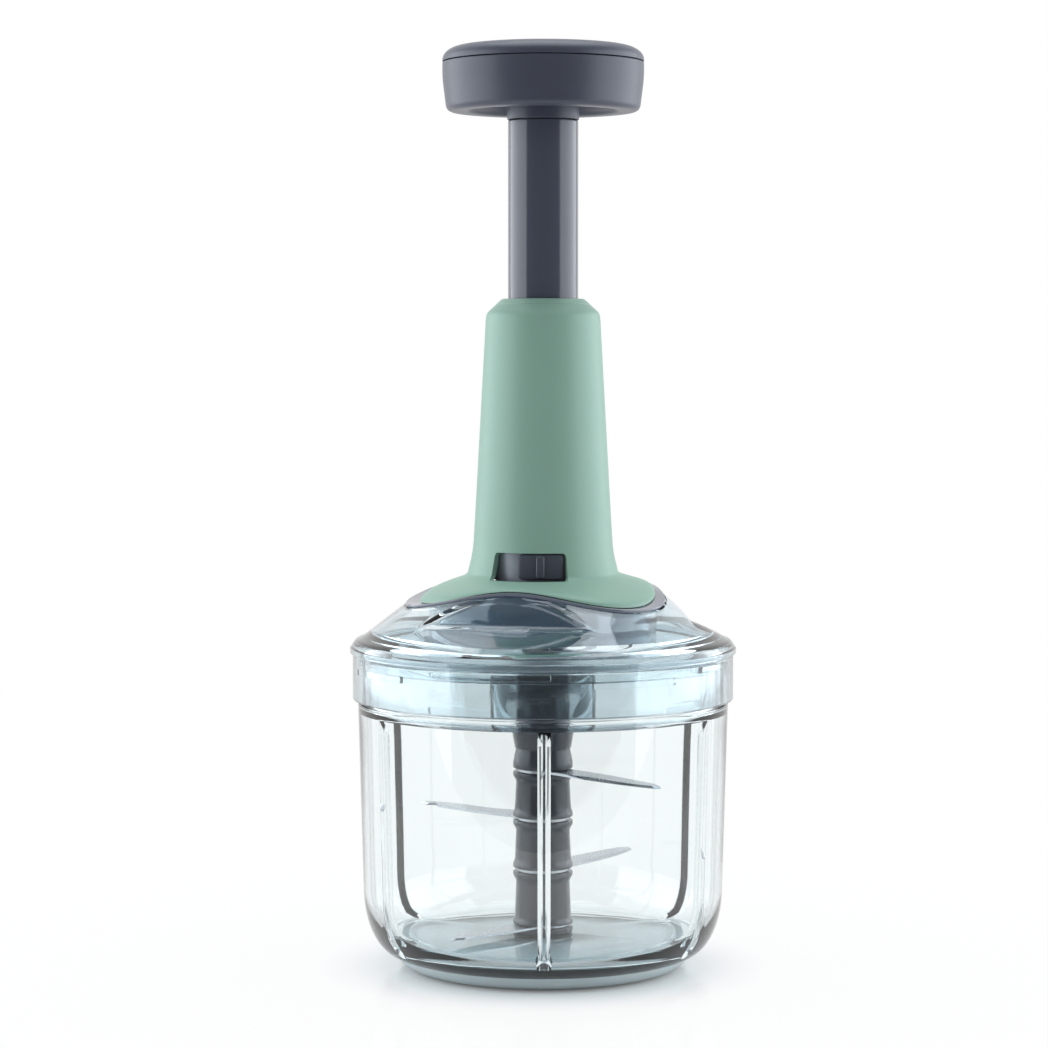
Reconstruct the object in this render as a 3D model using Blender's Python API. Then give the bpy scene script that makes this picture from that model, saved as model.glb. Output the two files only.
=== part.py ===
"""Manual food chopper: a clear bowl, a lid with a push handle, and blades that spin.

Metres, +Z up. The origin is the centre of the foot pad's underside. The front, azimuth
zero, looks along -Y, and azimuths grow towards +X.
"""

import math

import bmesh
import bpy
from mathutils import Matrix, Vector

FULL_TURN = math.tau
HALF_TURN = math.pi

# Gaps
CLEARANCE = 0.0003      # between pieces that touch
RUNNING_GAP = 0.00035   # between the plunger tube and what guides it
CUT_OVERRUN = 0.001     # how far a cutter or a joined block runs past a face
FACE_STEP = 0.0001      # keeps the faces of two neighbours out of one plane

# Facets round a full turn
BROAD_FACETS = 48
TUBE_FACETS = 32
SMALL_FACETS = 20
SCREW_FACETS = 12
BLOCK_STEP = math.radians(6)
SHARP_ANGLE = math.radians(32)

# Foot pad
PAD_RADIUS = 0.0485
PAD_HEIGHT = 0.0046
PAD_RECESS_RADIUS = 0.030
PAD_RECESS_DEPTH = 0.001
PAD_CURVE_WIDTH = 0.009
PAD_CURVE_HEIGHT = 0.0042
PAD_CURVE_STEPS = 3

# Bowl
BOWL_RADIUS = 0.0614
BOWL_LOW_RADIUS = 0.0597
BOWL_FOOT_RADIUS = 0.0488
BOWL_HEIGHT = 0.0988
BOWL_CORNER_HEIGHT = 0.0214
BOWL_WALL = 0.0022
BOWL_FLOOR = 0.0048
BOWL_HOLLOW_RADIUS = 0.045
BOWL_HOLLOW_DEPTH = 0.0026
BOWL_CORNER_STEPS = 4
NECK_HEIGHT = 0.0152
NECK_STEP = 0.0018
SHOULDER_HEIGHT = 0.0012
RIB_COUNT = 6
RIB_RADIUS = 0.0019
RIB_TOP_BELOW_NECK = 0.0044
RIB_SINK_SHARE = 0.75
RIB_SIDES = 6
RIB_END_SHARES = (0.3, 0.8)
LUG_COUNT = 4
LUG_DEPTH = 0.0013
LUG_HEIGHT = 0.0022
LUG_BELOW_RIM = 0.0003
LUG_ANGLE = math.radians(37)
LUG_AZIMUTH = math.radians(-16.5)

# Pin and boss in the bowl's floor
PIN_RADIUS = 0.002
PIN_LENGTH = 0.0168
BOSS_RADIUS = 0.0042
BOSS_HEIGHT = 0.0008
PIN_SOCKET_FLOOR = BOWL_HOLLOW_DEPTH + 0.001

# Blade unit
CORE_RADIUS = 0.005
END_CAP_RADIUS = 0.010
END_CAP_HEIGHT = 0.0022
END_CAP_RECESS = 0.0008
BLADE_THICKNESS = 0.0008
BLADE_HUB_RADIUS = 0.0084
BLADE_WIDTH = 0.0095
SPACER_SHARES = (0.3705, 0.324, 0.3055)
SPACER_FOOT_RADIUS = 0.010
SPACER_NECK_RADIUS = 0.0089
SPACER_LIP = 0.0012
CUP_FOOT_RADIUS = 0.0094
CUP_TOP_RADIUS = 0.011
CUP_BORE_RADIUS = 0.0087
CUP_HEIGHT = 0.0154
CUP_FLOOR = 0.0067
CUP_COLLAR = 0.0016
CUP_BAND = 0.0018
CUP_STEP = 0.0004
CUP_BELOW_COUPLING = 0.0026
DOG_ANGLE = math.radians(40)
DOG_INNER_RADIUS = 0.0045
DOG_ENGAGEMENT = 0.0056
BLADE_HUB_STEPS = 12
BLADE_AZIMUTHS = (math.radians(-45), math.radians(142), math.radians(-127), math.radians(45))
BLADE_REACHES = (0.0415, 0.050, 0.052, 0.052)
# Outline of an arm, as shares of its reach and of its width
BLADE_EDGE_SHARES = ((0.45, -0.52), (0.75, -0.42), (0.98, -0.18), (1.0, 0.06), (0.93, 0.26))
BLADE_HOOK_SHARES = ((0.88, 0.08), (0.82, 0.32), (0.5, 0.5))
BLADE_BACK_SHARES = ((0.82, 0.34), (0.5, 0.5))

# Lid
SKIRT_WALL = 0.0019
SKIRT_GAP = 0.0009      # over the bowl's shoulder
RIM_PROUD = 0.0009
RIM_BAND = 0.0012
SEAL_HEIGHT = 0.0032
SEAL_WIDTH = 0.0030
EDGE_BELOW_ROOF = 0.0016
EDGE_ROUND_HEIGHT = 0.0025
EDGE_ROUND_WIDTH = 0.0030
EDGE_ROUND_POWER = 2.5
EDGE_RING_SHARES = (1.0, 0.3)
LEDGE_WIDTH = 0.0046
LEDGE_SLOPE_SHARE = 0.38
CONE_SLOPE_SHARE = 0.78
SHOULDER_RADIUS = 0.046
SHOULDER_SLOPE_SHARE = 0.62
LID_WALL = 0.0022
COLLAR_WALL = 0.0016
COLLAR_DEPTH = 0.0035
TAB_ANGLE = math.radians(28)
TAB_HEIGHT = 0.0022
WELL_RADIUS = 0.036
WELL_WALL = 0.0016
WELL_FLOOR = 0.002
HUB_RADIUS = 0.0174
HUB_WALL = 0.0016
HUB_DEPTH = 0.0135
LID_AZIMUTH = math.radians(-16)

# Grip scoops in the cone, three round the lid
SCOOP_COUNT = 3
CREASE_DISTANCE = 0.043
CREASE_BELOW_CONE = 0.0060
SCOOP_WALL_SLOPE_SHARE = 1.6
SCOOP_FLOOR_SLOPE_SHARE = 0.38
MESH_LINE_GAP = 0.0006
HALVINGS = 24

# Handle base: the grey cup and its wavy ring
RING_MID_RADIUS = 0.0415
RING_WAVE = 0.0045
RING_THICKNESS = 0.0011
WAVE_RISE = 0.0027
RING_ABOVE_CONE = 0.0008
CUP_WALL = 0.0018
BASE_FLOOR = 0.002
BASE_HOLE_RADIUS = 0.0094
COLUMN_WALL = 0.0016

# Green handle shell
SHELL_WALL = 0.0022
EDGE_INSET = 0.0033
EDGE_INSET_WAVE = 0.0017
FLARE_HEIGHT = 0.0074
FLARE_STEPS = 4
HANDLE_HEIGHT = 0.0898
HANDLE_FOOT_RADIUS = 0.025
HANDLE_NECK_RADIUS = 0.0239
HANDLE_WAIST_RADIUS = 0.0231
HANDLE_MIDDLE_RADIUS = 0.0222
HANDLE_TOP_RADIUS = 0.0187
HANDLE_RING_SHARES = (0.037, 0.092, 0.26)
HANDLE_BEVEL_WIDTH = 0.0062
HANDLE_BEVEL_HEIGHT = 0.0050
HANDLE_BEVEL_SHARES = ((0.0, 1.0), (0.09, 0.76), (0.82, 0.09), (1.0, 0.0))
BUSH_LIP = 0.0016
BUSH_SEAT_HEIGHT = 0.0115
POST_RADIUS = 0.0028
POST_BITE = 0.0008
POST_TOP_ABOVE_FOOT = 0.0033
SCREW_RADIUS = 0.0015
SCREW_HEAD_RADIUS = 0.0026
SCREW_HEAD_HEIGHT = 0.0013
SCREW_BITE = 0.011
POST_COUNT = 3

# Guide bush
BUSH_WALL = 0.0032
BUSH_FLANGE = 0.0009
BUSH_FLANGE_HEIGHT = 0.002

# Lock: a curved plate with a button, and a ring round the plunger with an inner lug
SLOT_ABOVE_FOOT = 0.0027
SLOT_HEIGHT = 0.009
SLOT_ANGLE = math.radians(61.3)
SLOT_TURN = math.radians(4)
LOCK_TURN = math.radians(19)
BUTTON_ANGLE = math.radians(37.8)
BUTTON_PLAY = 0.0004
BUTTON_RADIUS = 0.0229
RIDGE_ANGLE = math.radians(6.6)
RIDGE_PROUD = 0.0012
PLATE_GAP = 0.0003
PLATE_THICKNESS = 0.0014
PLATE_OVERLAP = 0.0017
PLATE_COVER = math.radians(1)
LOCK_RING_WALL = 0.0018
LOCK_RING_HEIGHT = 0.003
LOCK_NECK_ANGLE = math.radians(16)
LUG_WIDTH_ANGLE = math.radians(14)
GROOVE_PLAY_ANGLE = math.radians(2)
GROOVE_PLAY = 0.0005

# Plunger
TUBE_RADIUS = 0.01165
TUBE_WALL = 0.002
TUBE_SHOWN = 0.0583
TUBE_HIDDEN = 0.0525
GROOVE_DEPTH = 0.0011
PUSH_TRAVEL = 0.056
NUT_HEIGHT = 0.006
NUT_PLAY = 0.0008
PLUG_HEIGHT = 0.0145
PLUG_ABOVE_TUBE = 0.006

# Knob
KNOB_RADIUS = 0.03325
KNOB_FOOT_RADIUS = 0.03175
KNOB_RECESS_RADIUS = 0.0236
KNOB_SIDE_HEIGHT = 0.0160
KNOB_WALL = 0.0026
KNOB_EDGE = 0.0012
KNOB_RECESS_DEPTH = 0.0035
KNOB_FLOOR = 0.0025
KNOB_COLLAR_RADIUS = 0.01185
KNOB_COLLAR_DROP = 0.0027
CAP_HEIGHT = 0.0062
CAP_EDGE_WIDTH = 0.0065
CAP_EDGE_HEIGHT = 0.0044
CAP_DOME = 0.0013
CAP_EDGE_STEPS = 3
CAP_WALL = 0.0022
CAP_SPIGOT_DEPTH = 0.003
CAP_SPIGOT_WALL = 0.0014
KNOB_SCREW_LENGTH = 0.011

# Drive
COUPLING_RADIUS = 0.0089
COUPLING_FLANGE_RADIUS = 0.0125
COUPLING_FLANGE_HEIGHT = 0.0014
COUPLING_FLANGE_DROP = 0.0078
COUPLING_LIP_RADIUS = 0.0106
COUPLING_LIP_HEIGHT = 0.0012
COUPLING_LENGTH = 0.0209
JOURNAL_RADIUS = 0.0064
SPIGOT_RADIUS = 0.0054
WASHER_RADIUS = 0.009
WASHER_HEIGHT = 0.0008
STRIP_HUB_RADIUS = 0.0089
STRIP_HUB_HEIGHT = 0.0032
STRIP_SOCKET_DEPTH = 0.0024
STRIP_HALF_WIDTH = 0.0035
STRIP_HALF_THICKNESS = 0.001
STRIP_LEAD = 0.040
STRIP_STEPS_PER_TURN = 36
STRIP_ABOVE_NUT = 0.0135
STRIP_CAP_RADIUS = 0.0092
STRIP_CAP_HEIGHT = 0.0045
STRIP_CAP_NOSE_RADIUS = 0.0055
STRIP_CAP_NOSE_HEIGHT = 0.002
STOP_RING_WALL = 0.0021
STOP_RING_HEIGHT = 0.0026

# Return spring
SPRING_RADIUS = 0.007
SPRING_WIRE_RADIUS = 0.0006
SPRING_CURLS = 11
SPRING_POINTS_PER_CURL = 8

# Heights that follow from the sizes above, upwards
BOWL_Z = PAD_HEIGHT + CLEARANCE
FLOOR_Z = BOWL_Z + BOWL_FLOOR
RIM_Z = BOWL_Z + BOWL_HEIGHT
NECK_Z = RIM_Z - NECK_HEIGHT
SEAL_Z = RIM_Z + CLEARANCE
ROOF_Z = SEAL_Z + SEAL_HEIGHT + CLEARANCE
EDGE_Z = ROOF_Z - EDGE_BELOW_ROOF
SKIRT_Z = NECK_Z + SKIRT_GAP
WELL_Z = ROOF_Z - FACE_STEP
WELL_UNDER_Z = WELL_Z - WELL_FLOOR
BASE_Z = WELL_Z + CLEARANCE
BASE_TOP_Z = BASE_Z + BASE_FLOOR

# Radii that follow, from the bowl outwards to the lid
NECK_RADIUS = BOWL_RADIUS - NECK_STEP
NECK_BORE = NECK_RADIUS - BOWL_WALL
LUG_RADIUS = NECK_RADIUS + LUG_DEPTH
SKIRT_BORE = LUG_RADIUS + CLEARANCE
SKIRT_RADIUS = SKIRT_BORE + SKIRT_WALL
LID_RADIUS = SKIRT_RADIUS + RIM_PROUD
CONE_FOOT_RADIUS = LID_RADIUS - LEDGE_WIDTH
COLLAR_RADIUS = NECK_BORE - CLEARANCE
COLLAR_BORE = COLLAR_RADIUS - COLLAR_WALL
WELL_OUTER = WELL_RADIUS + WELL_WALL
CUP_RADIUS = WELL_RADIUS - CLEARANCE
CUP_BORE = CUP_RADIUS - CUP_WALL
COLUMN_BORE = TUBE_RADIUS + RUNNING_GAP
COLUMN_RADIUS = COLUMN_BORE + COLUMN_WALL
TUBE_BORE = TUBE_RADIUS - TUBE_WALL
CORE_HOLE = CORE_RADIUS + CLEARANCE
PIN_HOLE = PIN_RADIUS + CLEARANCE
JOURNAL_BORE = JOURNAL_RADIUS + CLEARANCE
CONE_FOOT_Z = EDGE_Z + EDGE_ROUND_HEIGHT + LEDGE_WIDTH * LEDGE_SLOPE_SHARE


def cone_height(radius):
    """Top of the lid without its scoops: shoulder, cone, ledge and rounded edge."""
    inward = CONE_FOOT_RADIUS - radius
    ledge = CONE_FOOT_Z + inward * LEDGE_SLOPE_SHARE
    cone = CONE_FOOT_Z + inward * CONE_SLOPE_SHARE
    shoulder_z = CONE_FOOT_Z + (CONE_FOOT_RADIUS - SHOULDER_RADIUS) * CONE_SLOPE_SHARE
    shoulder = shoulder_z + (SHOULDER_RADIUS - radius) * SHOULDER_SLOPE_SHARE
    past = max(0.0, radius - (LID_RADIUS - EDGE_ROUND_WIDTH)) / EDGE_ROUND_WIDTH
    return max(ledge, min(cone, shoulder)) - EDGE_ROUND_HEIGHT * past ** EDGE_ROUND_POWER


WAVE_MID_Z = cone_height(RING_MID_RADIUS) + RING_ABOVE_CONE
CREASE_Z = cone_height(CREASE_DISTANCE) - CREASE_BELOW_CONE
HANDLE_Z = WAVE_MID_Z + FLARE_HEIGHT
HANDLE_TOP_Z = HANDLE_Z + HANDLE_HEIGHT
SLOT_Z = HANDLE_Z + SLOT_ABOVE_FOOT
LOCK_RING_Z = SLOT_Z - LOCK_RING_HEIGHT / 2
COLUMN_TOP_Z = LOCK_RING_Z - CLEARANCE
TUBE_TOP_Z = HANDLE_TOP_Z + TUBE_SHOWN
TUBE_Z = HANDLE_TOP_Z - TUBE_HIDDEN
KNOB_FOOT_Z = TUBE_TOP_Z + CLEARANCE + KNOB_COLLAR_DROP
SHOULDER_Z = WELL_UNDER_Z - CLEARANCE - WASHER_HEIGHT - CLEARANCE
COUPLING_Z = SHOULDER_Z - COUPLING_LENGTH
JOURNAL_TOP_Z = BASE_Z - FACE_STEP
WASHER_Z = JOURNAL_TOP_Z + CLEARANCE
STRIP_HUB_Z = WASHER_Z + WASHER_HEIGHT + CLEARANCE
STRIP_Z = STRIP_HUB_Z + STRIP_HUB_HEIGHT - STRIP_SOCKET_DEPTH + CLEARANCE
STRIP_TOP_Z = TUBE_Z + NUT_HEIGHT + STRIP_ABOVE_NUT
STRIP_CAP_Z = STRIP_TOP_Z + CLEARANCE - STRIP_SOCKET_DEPTH
SPRING_Z = STRIP_CAP_Z + STRIP_CAP_HEIGHT + CLEARANCE
PLUG_Z = TUBE_TOP_Z + PLUG_ABOVE_TUBE - PLUG_HEIGHT
BLADE_FOOT_Z = FLOOR_Z + CLEARANCE + END_CAP_HEIGHT + CLEARANCE
CUP_Z = COUPLING_Z - CUP_BELOW_COUPLING - CUP_HEIGHT
BLADE_PITCH = BLADE_THICKNESS + 2 * CLEARANCE
SPACER_SUM = CUP_Z - BLADE_FOOT_Z - len(SPACER_SHARES) * BLADE_PITCH - BLADE_THICKNESS - CLEARANCE
SPACER_LENGTHS = [SPACER_SUM * share for share in SPACER_SHARES]


# Scene helpers

def clear_scene():
    for item in list(bpy.data.objects):
        bpy.data.objects.remove(item, do_unlink=True)


def make_material(name, colour, roughness, metallic=0, alpha=1):
    material = bpy.data.materials.new(name)
    material.use_nodes = True
    shader = material.node_tree.nodes["Principled BSDF"]
    shader.inputs["Base Color"].default_value = (*colour, 1)
    shader.inputs["Roughness"].default_value = roughness
    shader.inputs["Metallic"].default_value = metallic
    shader.inputs["Alpha"].default_value = alpha
    return material


def make_empty(name, parent=None, height=0.0, turn=0.0):
    empty = bpy.data.objects.new(name, None)
    bpy.context.scene.collection.objects.link(empty)
    empty.location.z = height
    empty.rotation_euler.z = turn
    empty.parent = parent
    return empty


def mesh_from(name, vertices, faces):
    """A mesh with its faces pointing outwards."""
    shape = bmesh.new()
    points = [shape.verts.new(vertex) for vertex in vertices]
    for face in faces:
        shape.faces.new([points[index] for index in face])
    bmesh.ops.recalc_face_normals(shape, faces=shape.faces)
    mesh = bpy.data.meshes.new(name)
    shape.to_mesh(mesh)
    shape.free()
    return mesh


def place(name, mesh, material, parent, height=0.0, turn=0.0):
    """An object for a mesh, on a frame, at a height on the axis."""
    mesh.materials.append(material)
    mesh.shade_smooth()
    mesh.set_sharp_from_angle(angle=SHARP_ANGLE)
    item = bpy.data.objects.new(name, mesh)
    bpy.context.scene.collection.objects.link(item)
    item.parent = parent
    item.location.z = height
    item.rotation_euler.z = turn
    return item


def combine(target, mesh, operation):
    """Join a helper shape to an object or cut it out, with a modifier that stays."""
    helper = bpy.data.objects.new(target.name + "_helper", mesh)
    bpy.context.scene.collection.objects.link(helper)
    helper.parent = target
    helper.hide_render = True
    helper.display_type = "WIRE"
    modifier = target.modifiers.new(operation.title(), "BOOLEAN")
    modifier.operation = operation
    modifier.solver = "EXACT"
    modifier.object = helper


# Shapes

def polar(radius, azimuth, height):
    return (radius * math.sin(azimuth), -radius * math.cos(azimuth), height)


def loft(name, sections, facets, closed=True):
    """A skin through sections, each a function of azimuth that gives radius and height.

    A closed loft joins its last section to its first. An open one has ends on the axis.
    """
    vertices = []
    rows = []
    for section in sections:
        row = []
        for index in range(facets):
            azimuth = FULL_TURN * index / facets
            radius, height = section(azimuth)
            row.append(len(vertices))
            vertices.append(polar(radius, azimuth, height))
            if radius == 0:
                break
        rows.append(row)
    pairs = list(zip(rows, rows[1:]))
    if closed:
        pairs.append((rows[-1], rows[0]))
    faces = []
    for lower, upper in pairs:
        for index in range(facets):
            after = (index + 1) % facets
            corners = [lower[index % len(lower)], lower[after % len(lower)],
                       upper[after % len(upper)], upper[index % len(upper)]]
            faces.append(list(dict.fromkeys(corners)))
    return mesh_from(name, vertices, faces)


def turned(name, profile, facets=SMALL_FACETS):
    """A turned piece from points of radius and height, open only where it starts on the axis."""
    sections = [lambda azimuth, point=point: point for point in profile]
    return loft(name, sections, facets, closed=profile[0][0] != 0)


def ring_profile(inner, outer, low, high):
    return [(outer, low), (outer, high), (inner, high), (inner, low)]


def round_arc(centre, reach, start, end, steps):
    """Points of radius and height on an arc with unlike reaches, angles from outwards to up."""
    points = []
    for step in range(steps + 1):
        angle = start + (end - start) * step / steps
        points.append((centre[0] + reach[0] * math.cos(angle),
                       centre[1] + reach[1] * math.sin(angle)))
    return points


def arc_block(inner, outer, low, high, start, end):
    """Vertices and faces of a block between two radii, two heights and two azimuths."""
    steps = max(2, math.ceil((end - start) / BLOCK_STEP))
    vertices = []
    for step in range(steps + 1):
        azimuth = start + (end - start) * step / steps
        for radius, height in ring_profile(inner, outer, low, high):
            vertices.append(polar(radius, azimuth, height))
    faces = [[0, 1, 2, 3], [4 * steps + corner for corner in (3, 2, 1, 0)]]
    for step in range(steps):
        for corner in range(4):
            after = (corner + 1) % 4
            first = 4 * step
            faces.append([first + corner, first + after, first + 4 + after, first + 4 + corner])
    return vertices, faces


def merged(name, parts):
    """One mesh from several lists of vertices and faces."""
    vertices = []
    faces = []
    for part_vertices, part_faces in parts:
        start = len(vertices)
        vertices.extend(part_vertices)
        faces.extend([[start + index for index in face] for face in part_faces])
    return mesh_from(name, vertices, faces)


def block_mesh(name, *sizes):
    return merged(name, [arc_block(*sizes)])


def cylinder_part(radius, low, high, centre, facets=SCREW_FACETS):
    """Vertices and faces of an upright cylinder round a point beside the axis."""
    vertices = []
    for height in (low, high):
        for index in range(facets):
            angle = FULL_TURN * index / facets
            vertices.append((centre[0] + radius * math.cos(angle),
                             centre[1] + radius * math.sin(angle), height))
    faces = [list(range(facets)), list(range(facets, 2 * facets))]
    for index in range(facets):
        after = (index + 1) % facets
        faces.append([index, after, facets + after, facets + index])
    return vertices, faces


# Bowl and foot pad

def make_pad(frame, material):
    """Ring face, curved side, and a raised middle that fills the hollow under the bowl."""
    centre = (PAD_RADIUS - PAD_CURVE_WIDTH, PAD_CURVE_HEIGHT)
    reach = (PAD_CURVE_WIDTH, PAD_CURVE_HEIGHT)
    middle = BOWL_HOLLOW_RADIUS - CLEARANCE
    profile = [(0.0, PAD_RECESS_DEPTH), (PAD_RECESS_RADIUS, PAD_RECESS_DEPTH),
               (PAD_RECESS_RADIUS, 0.0)]
    profile += round_arc(centre, reach, -HALF_TURN / 2, 0.0, PAD_CURVE_STEPS)
    profile += [(PAD_RADIUS, PAD_HEIGHT), (middle, PAD_HEIGHT),
                (middle, PAD_HEIGHT + BOWL_HOLLOW_DEPTH), (0.0, PAD_HEIGHT + BOWL_HOLLOW_DEPTH)]
    place("anti_slip_base", turned("anti_slip_base", profile, TUBE_FACETS), material, frame)


def bowl_inner_wall(height):
    """Inner radius of the bowl above its rounded corner."""
    share = (height - BOWL_CORNER_HEIGHT) / (BOWL_HEIGHT - NECK_HEIGHT - BOWL_CORNER_HEIGHT)
    return BOWL_LOW_RADIUS + (BOWL_RADIUS - BOWL_LOW_RADIUS) * share - BOWL_WALL


def bowl_corner(wall, floor):
    reach = (BOWL_LOW_RADIUS - BOWL_FOOT_RADIUS - wall, BOWL_CORNER_HEIGHT - floor)
    centre = (BOWL_FOOT_RADIUS, BOWL_CORNER_HEIGHT)
    return round_arc(centre, reach, -HALF_TURN / 2, 0.0, BOWL_CORNER_STEPS)


def bowl_profile():
    shoulder = BOWL_HEIGHT - NECK_HEIGHT
    outer = [(0.0, BOWL_HOLLOW_DEPTH), (BOWL_HOLLOW_RADIUS, BOWL_HOLLOW_DEPTH),
             (BOWL_HOLLOW_RADIUS, 0.0)] + bowl_corner(0.0, 0.0)
    outer += [(BOWL_RADIUS, shoulder - SHOULDER_HEIGHT), (BOWL_RADIUS - CLEARANCE, shoulder),
              (NECK_RADIUS, shoulder), (NECK_RADIUS, BOWL_HEIGHT)]
    inner = [(NECK_BORE, BOWL_HEIGHT), (NECK_BORE, shoulder - SHOULDER_HEIGHT),
             (BOWL_RADIUS - BOWL_WALL, shoulder - SHOULDER_HEIGHT - BOWL_WALL)]
    inner += list(reversed(bowl_corner(BOWL_WALL, BOWL_FLOOR)))
    boss_top = BOWL_FLOOR + BOSS_HEIGHT
    boss = [(BOSS_RADIUS, BOWL_FLOOR), (BOSS_RADIUS, boss_top), (PIN_HOLE, boss_top),
            (PIN_HOLE, PIN_SOCKET_FLOOR), (0.0, PIN_SOCKET_FLOOR)]
    return outer + inner + boss


def rib_path():
    """Centre line of a rib, from its rounded top down the wall and round the corner."""
    inset = RIB_RADIUS * (1 - RIB_SINK_SHARE)
    top = BOWL_HEIGHT - NECK_HEIGHT - RIB_TOP_BELOW_NECK
    corner = list(reversed(bowl_corner(BOWL_WALL, BOWL_FLOOR)))[:-1]
    heights = [top, top - RIB_RADIUS * RIB_SINK_SHARE, top - RIB_RADIUS * 2]
    path = [(bowl_inner_wall(height), height) for height in heights] + corner
    return [(radius - inset, height) for radius, height in path]


def rib_part(azimuth):
    """Vertices and faces of one rib: a bead along its path, rounded at its ends."""
    path = rib_path()
    size_shares = list(RIB_END_SHARES) + [1.0] * (len(path) - len(RIB_END_SHARES))
    vertices = []
    for index, (radius, height) in enumerate(path):
        before = path[max(index - 1, 0)]
        after = path[min(index + 1, len(path) - 1)]
        along = math.atan2(after[1] - before[1], after[0] - before[0])
        for side in range(RIB_SIDES):
            angle = FULL_TURN * side / RIB_SIDES
            size = RIB_RADIUS * size_shares[index]
            across = size * math.cos(angle)
            out = size * math.sin(angle)
            point = polar(radius - out * math.sin(along), azimuth, height + out * math.cos(along))
            vertices.append((point[0] + across * math.cos(azimuth),
                             point[1] + across * math.sin(azimuth), point[2]))
    last = len(path) - 1
    faces = [list(range(RIB_SIDES)), [last * RIB_SIDES + side for side in range(RIB_SIDES)]]
    for index in range(last):
        for side in range(RIB_SIDES):
            after = (side + 1) % RIB_SIDES
            row = index * RIB_SIDES
            faces.append([row + side, row + after, row + RIB_SIDES + after, row + RIB_SIDES + side])
    return vertices, faces


def bowl_lugs():
    """Bayonet lugs round the neck, a little into its wall."""
    top = BOWL_HEIGHT - LUG_BELOW_RIM
    parts = []
    for index in range(LUG_COUNT):
        centre = LUG_AZIMUTH + FULL_TURN * index / LUG_COUNT
        parts.append(arc_block(NECK_RADIUS - BOWL_WALL / 2, LUG_RADIUS, top - LUG_HEIGHT, top,
                               centre - LUG_ANGLE / 2, centre + LUG_ANGLE / 2))
    return parts


def make_bowl(frame, material):
    mesh = turned("bowl", bowl_profile(), BROAD_FACETS)
    bowl = place("bowl", mesh, material, frame, BOWL_Z)
    ribs = [rib_part(FULL_TURN * index / RIB_COUNT) for index in range(RIB_COUNT)]
    combine(bowl, merged("bowl_ribs", ribs + bowl_lugs()), "UNION")


def make_pin(frame, material):
    profile = [(0.0, 0.0), (PIN_RADIUS, 0.0), (PIN_RADIUS, PIN_LENGTH - PIN_RADIUS / 2),
               (PIN_RADIUS / 2, PIN_LENGTH), (0.0, PIN_LENGTH)]
    height = BOWL_Z + PIN_SOCKET_FLOOR + CLEARANCE
    place("centre_pin", turned("centre_pin", profile), material, frame, height)


# Blade unit

def blade_level(index):
    """Underside of a blade, counted from the bottom."""
    below = sum(SPACER_LENGTHS[:index])
    return BLADE_FOOT_Z + index * BLADE_PITCH + below


def make_end_cap(frame, material):
    recess = BOSS_RADIUS + CLEARANCE
    web = BOSS_HEIGHT + CLEARANCE
    profile = [
        (END_CAP_RADIUS, 0.0), (END_CAP_RADIUS, END_CAP_HEIGHT), (PIN_HOLE, END_CAP_HEIGHT),
        (PIN_HOLE, web), (recess, web), (recess, 0.0),
    ]
    mesh = turned("blade_end_cap", profile)
    place("blade_end_cap", mesh, material, frame, FLOOR_Z + CLEARANCE)


def make_core(frame, material):
    length = CUP_Z + CUP_FLOOR - CLEARANCE - BLADE_FOOT_Z
    bore = BOWL_Z + PIN_SOCKET_FLOOR + PIN_LENGTH + 2 * CLEARANCE - BLADE_FOOT_Z
    profile = [
        (0.0, bore), (PIN_HOLE, bore), (PIN_HOLE, 0.0), (CORE_RADIUS, 0.0),
        (CORE_RADIUS, length), (0.0, length),
    ]
    place("blade_core", turned("blade_core", profile), material, frame, BLADE_FOOT_Z)


def make_spacer(frame, material, index, name):
    length = SPACER_LENGTHS[index]
    lip = SPACER_LIP
    profile = [
        (SPACER_FOOT_RADIUS, 0.0), (SPACER_FOOT_RADIUS, lip),
        (SPACER_NECK_RADIUS, length - 2 * lip), (SPACER_FOOT_RADIUS, length - lip),
        (SPACER_FOOT_RADIUS, length), (CORE_HOLE, length), (CORE_HOLE, 0.0),
    ]
    height = blade_level(index) + BLADE_THICKNESS + CLEARANCE
    place(name, turned(name, profile), material, frame, height)


def blade_outline(reach, hooked):
    """Outline of a blade along +X: the hub's round side, then the arm with its edge and tip."""
    half = BLADE_WIDTH / 2
    start = math.asin(half / BLADE_HUB_RADIUS)
    hub = []
    for step in range(BLADE_HUB_STEPS + 1):
        angle = start + (FULL_TURN - 2 * start) * step / BLADE_HUB_STEPS
        hub.append((BLADE_HUB_RADIUS * math.cos(angle), BLADE_HUB_RADIUS * math.sin(angle)))
    back = BLADE_HOOK_SHARES if hooked else BLADE_BACK_SHARES
    arm = [(along * reach, across * BLADE_WIDTH) for along, across in BLADE_EDGE_SHARES + back]
    return hub + arm


def blade_mesh(name, reach, hooked):
    shape = bmesh.new()
    edges = []
    hole = [(CORE_HOLE * math.cos(FULL_TURN * step / SMALL_FACETS),
             CORE_HOLE * math.sin(FULL_TURN * step / SMALL_FACETS))
            for step in range(SMALL_FACETS)]
    for loop in (blade_outline(reach, hooked), hole):
        points = [shape.verts.new((x, y, 0.0)) for x, y in loop]
        for index, point in enumerate(points):
            edges.append(shape.edges.new((point, points[(index + 1) % len(points)])))
    bmesh.ops.triangle_fill(shape, use_beauty=True, edges=edges)
    raised = bmesh.ops.extrude_face_region(shape, geom=list(shape.faces))
    moved = [item for item in raised["geom"] if isinstance(item, bmesh.types.BMVert)]
    bmesh.ops.translate(shape, verts=moved, vec=(0.0, 0.0, BLADE_THICKNESS))
    bmesh.ops.recalc_face_normals(shape, faces=shape.faces)
    mesh = bpy.data.meshes.new(name)
    shape.to_mesh(mesh)
    shape.free()
    return mesh


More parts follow.
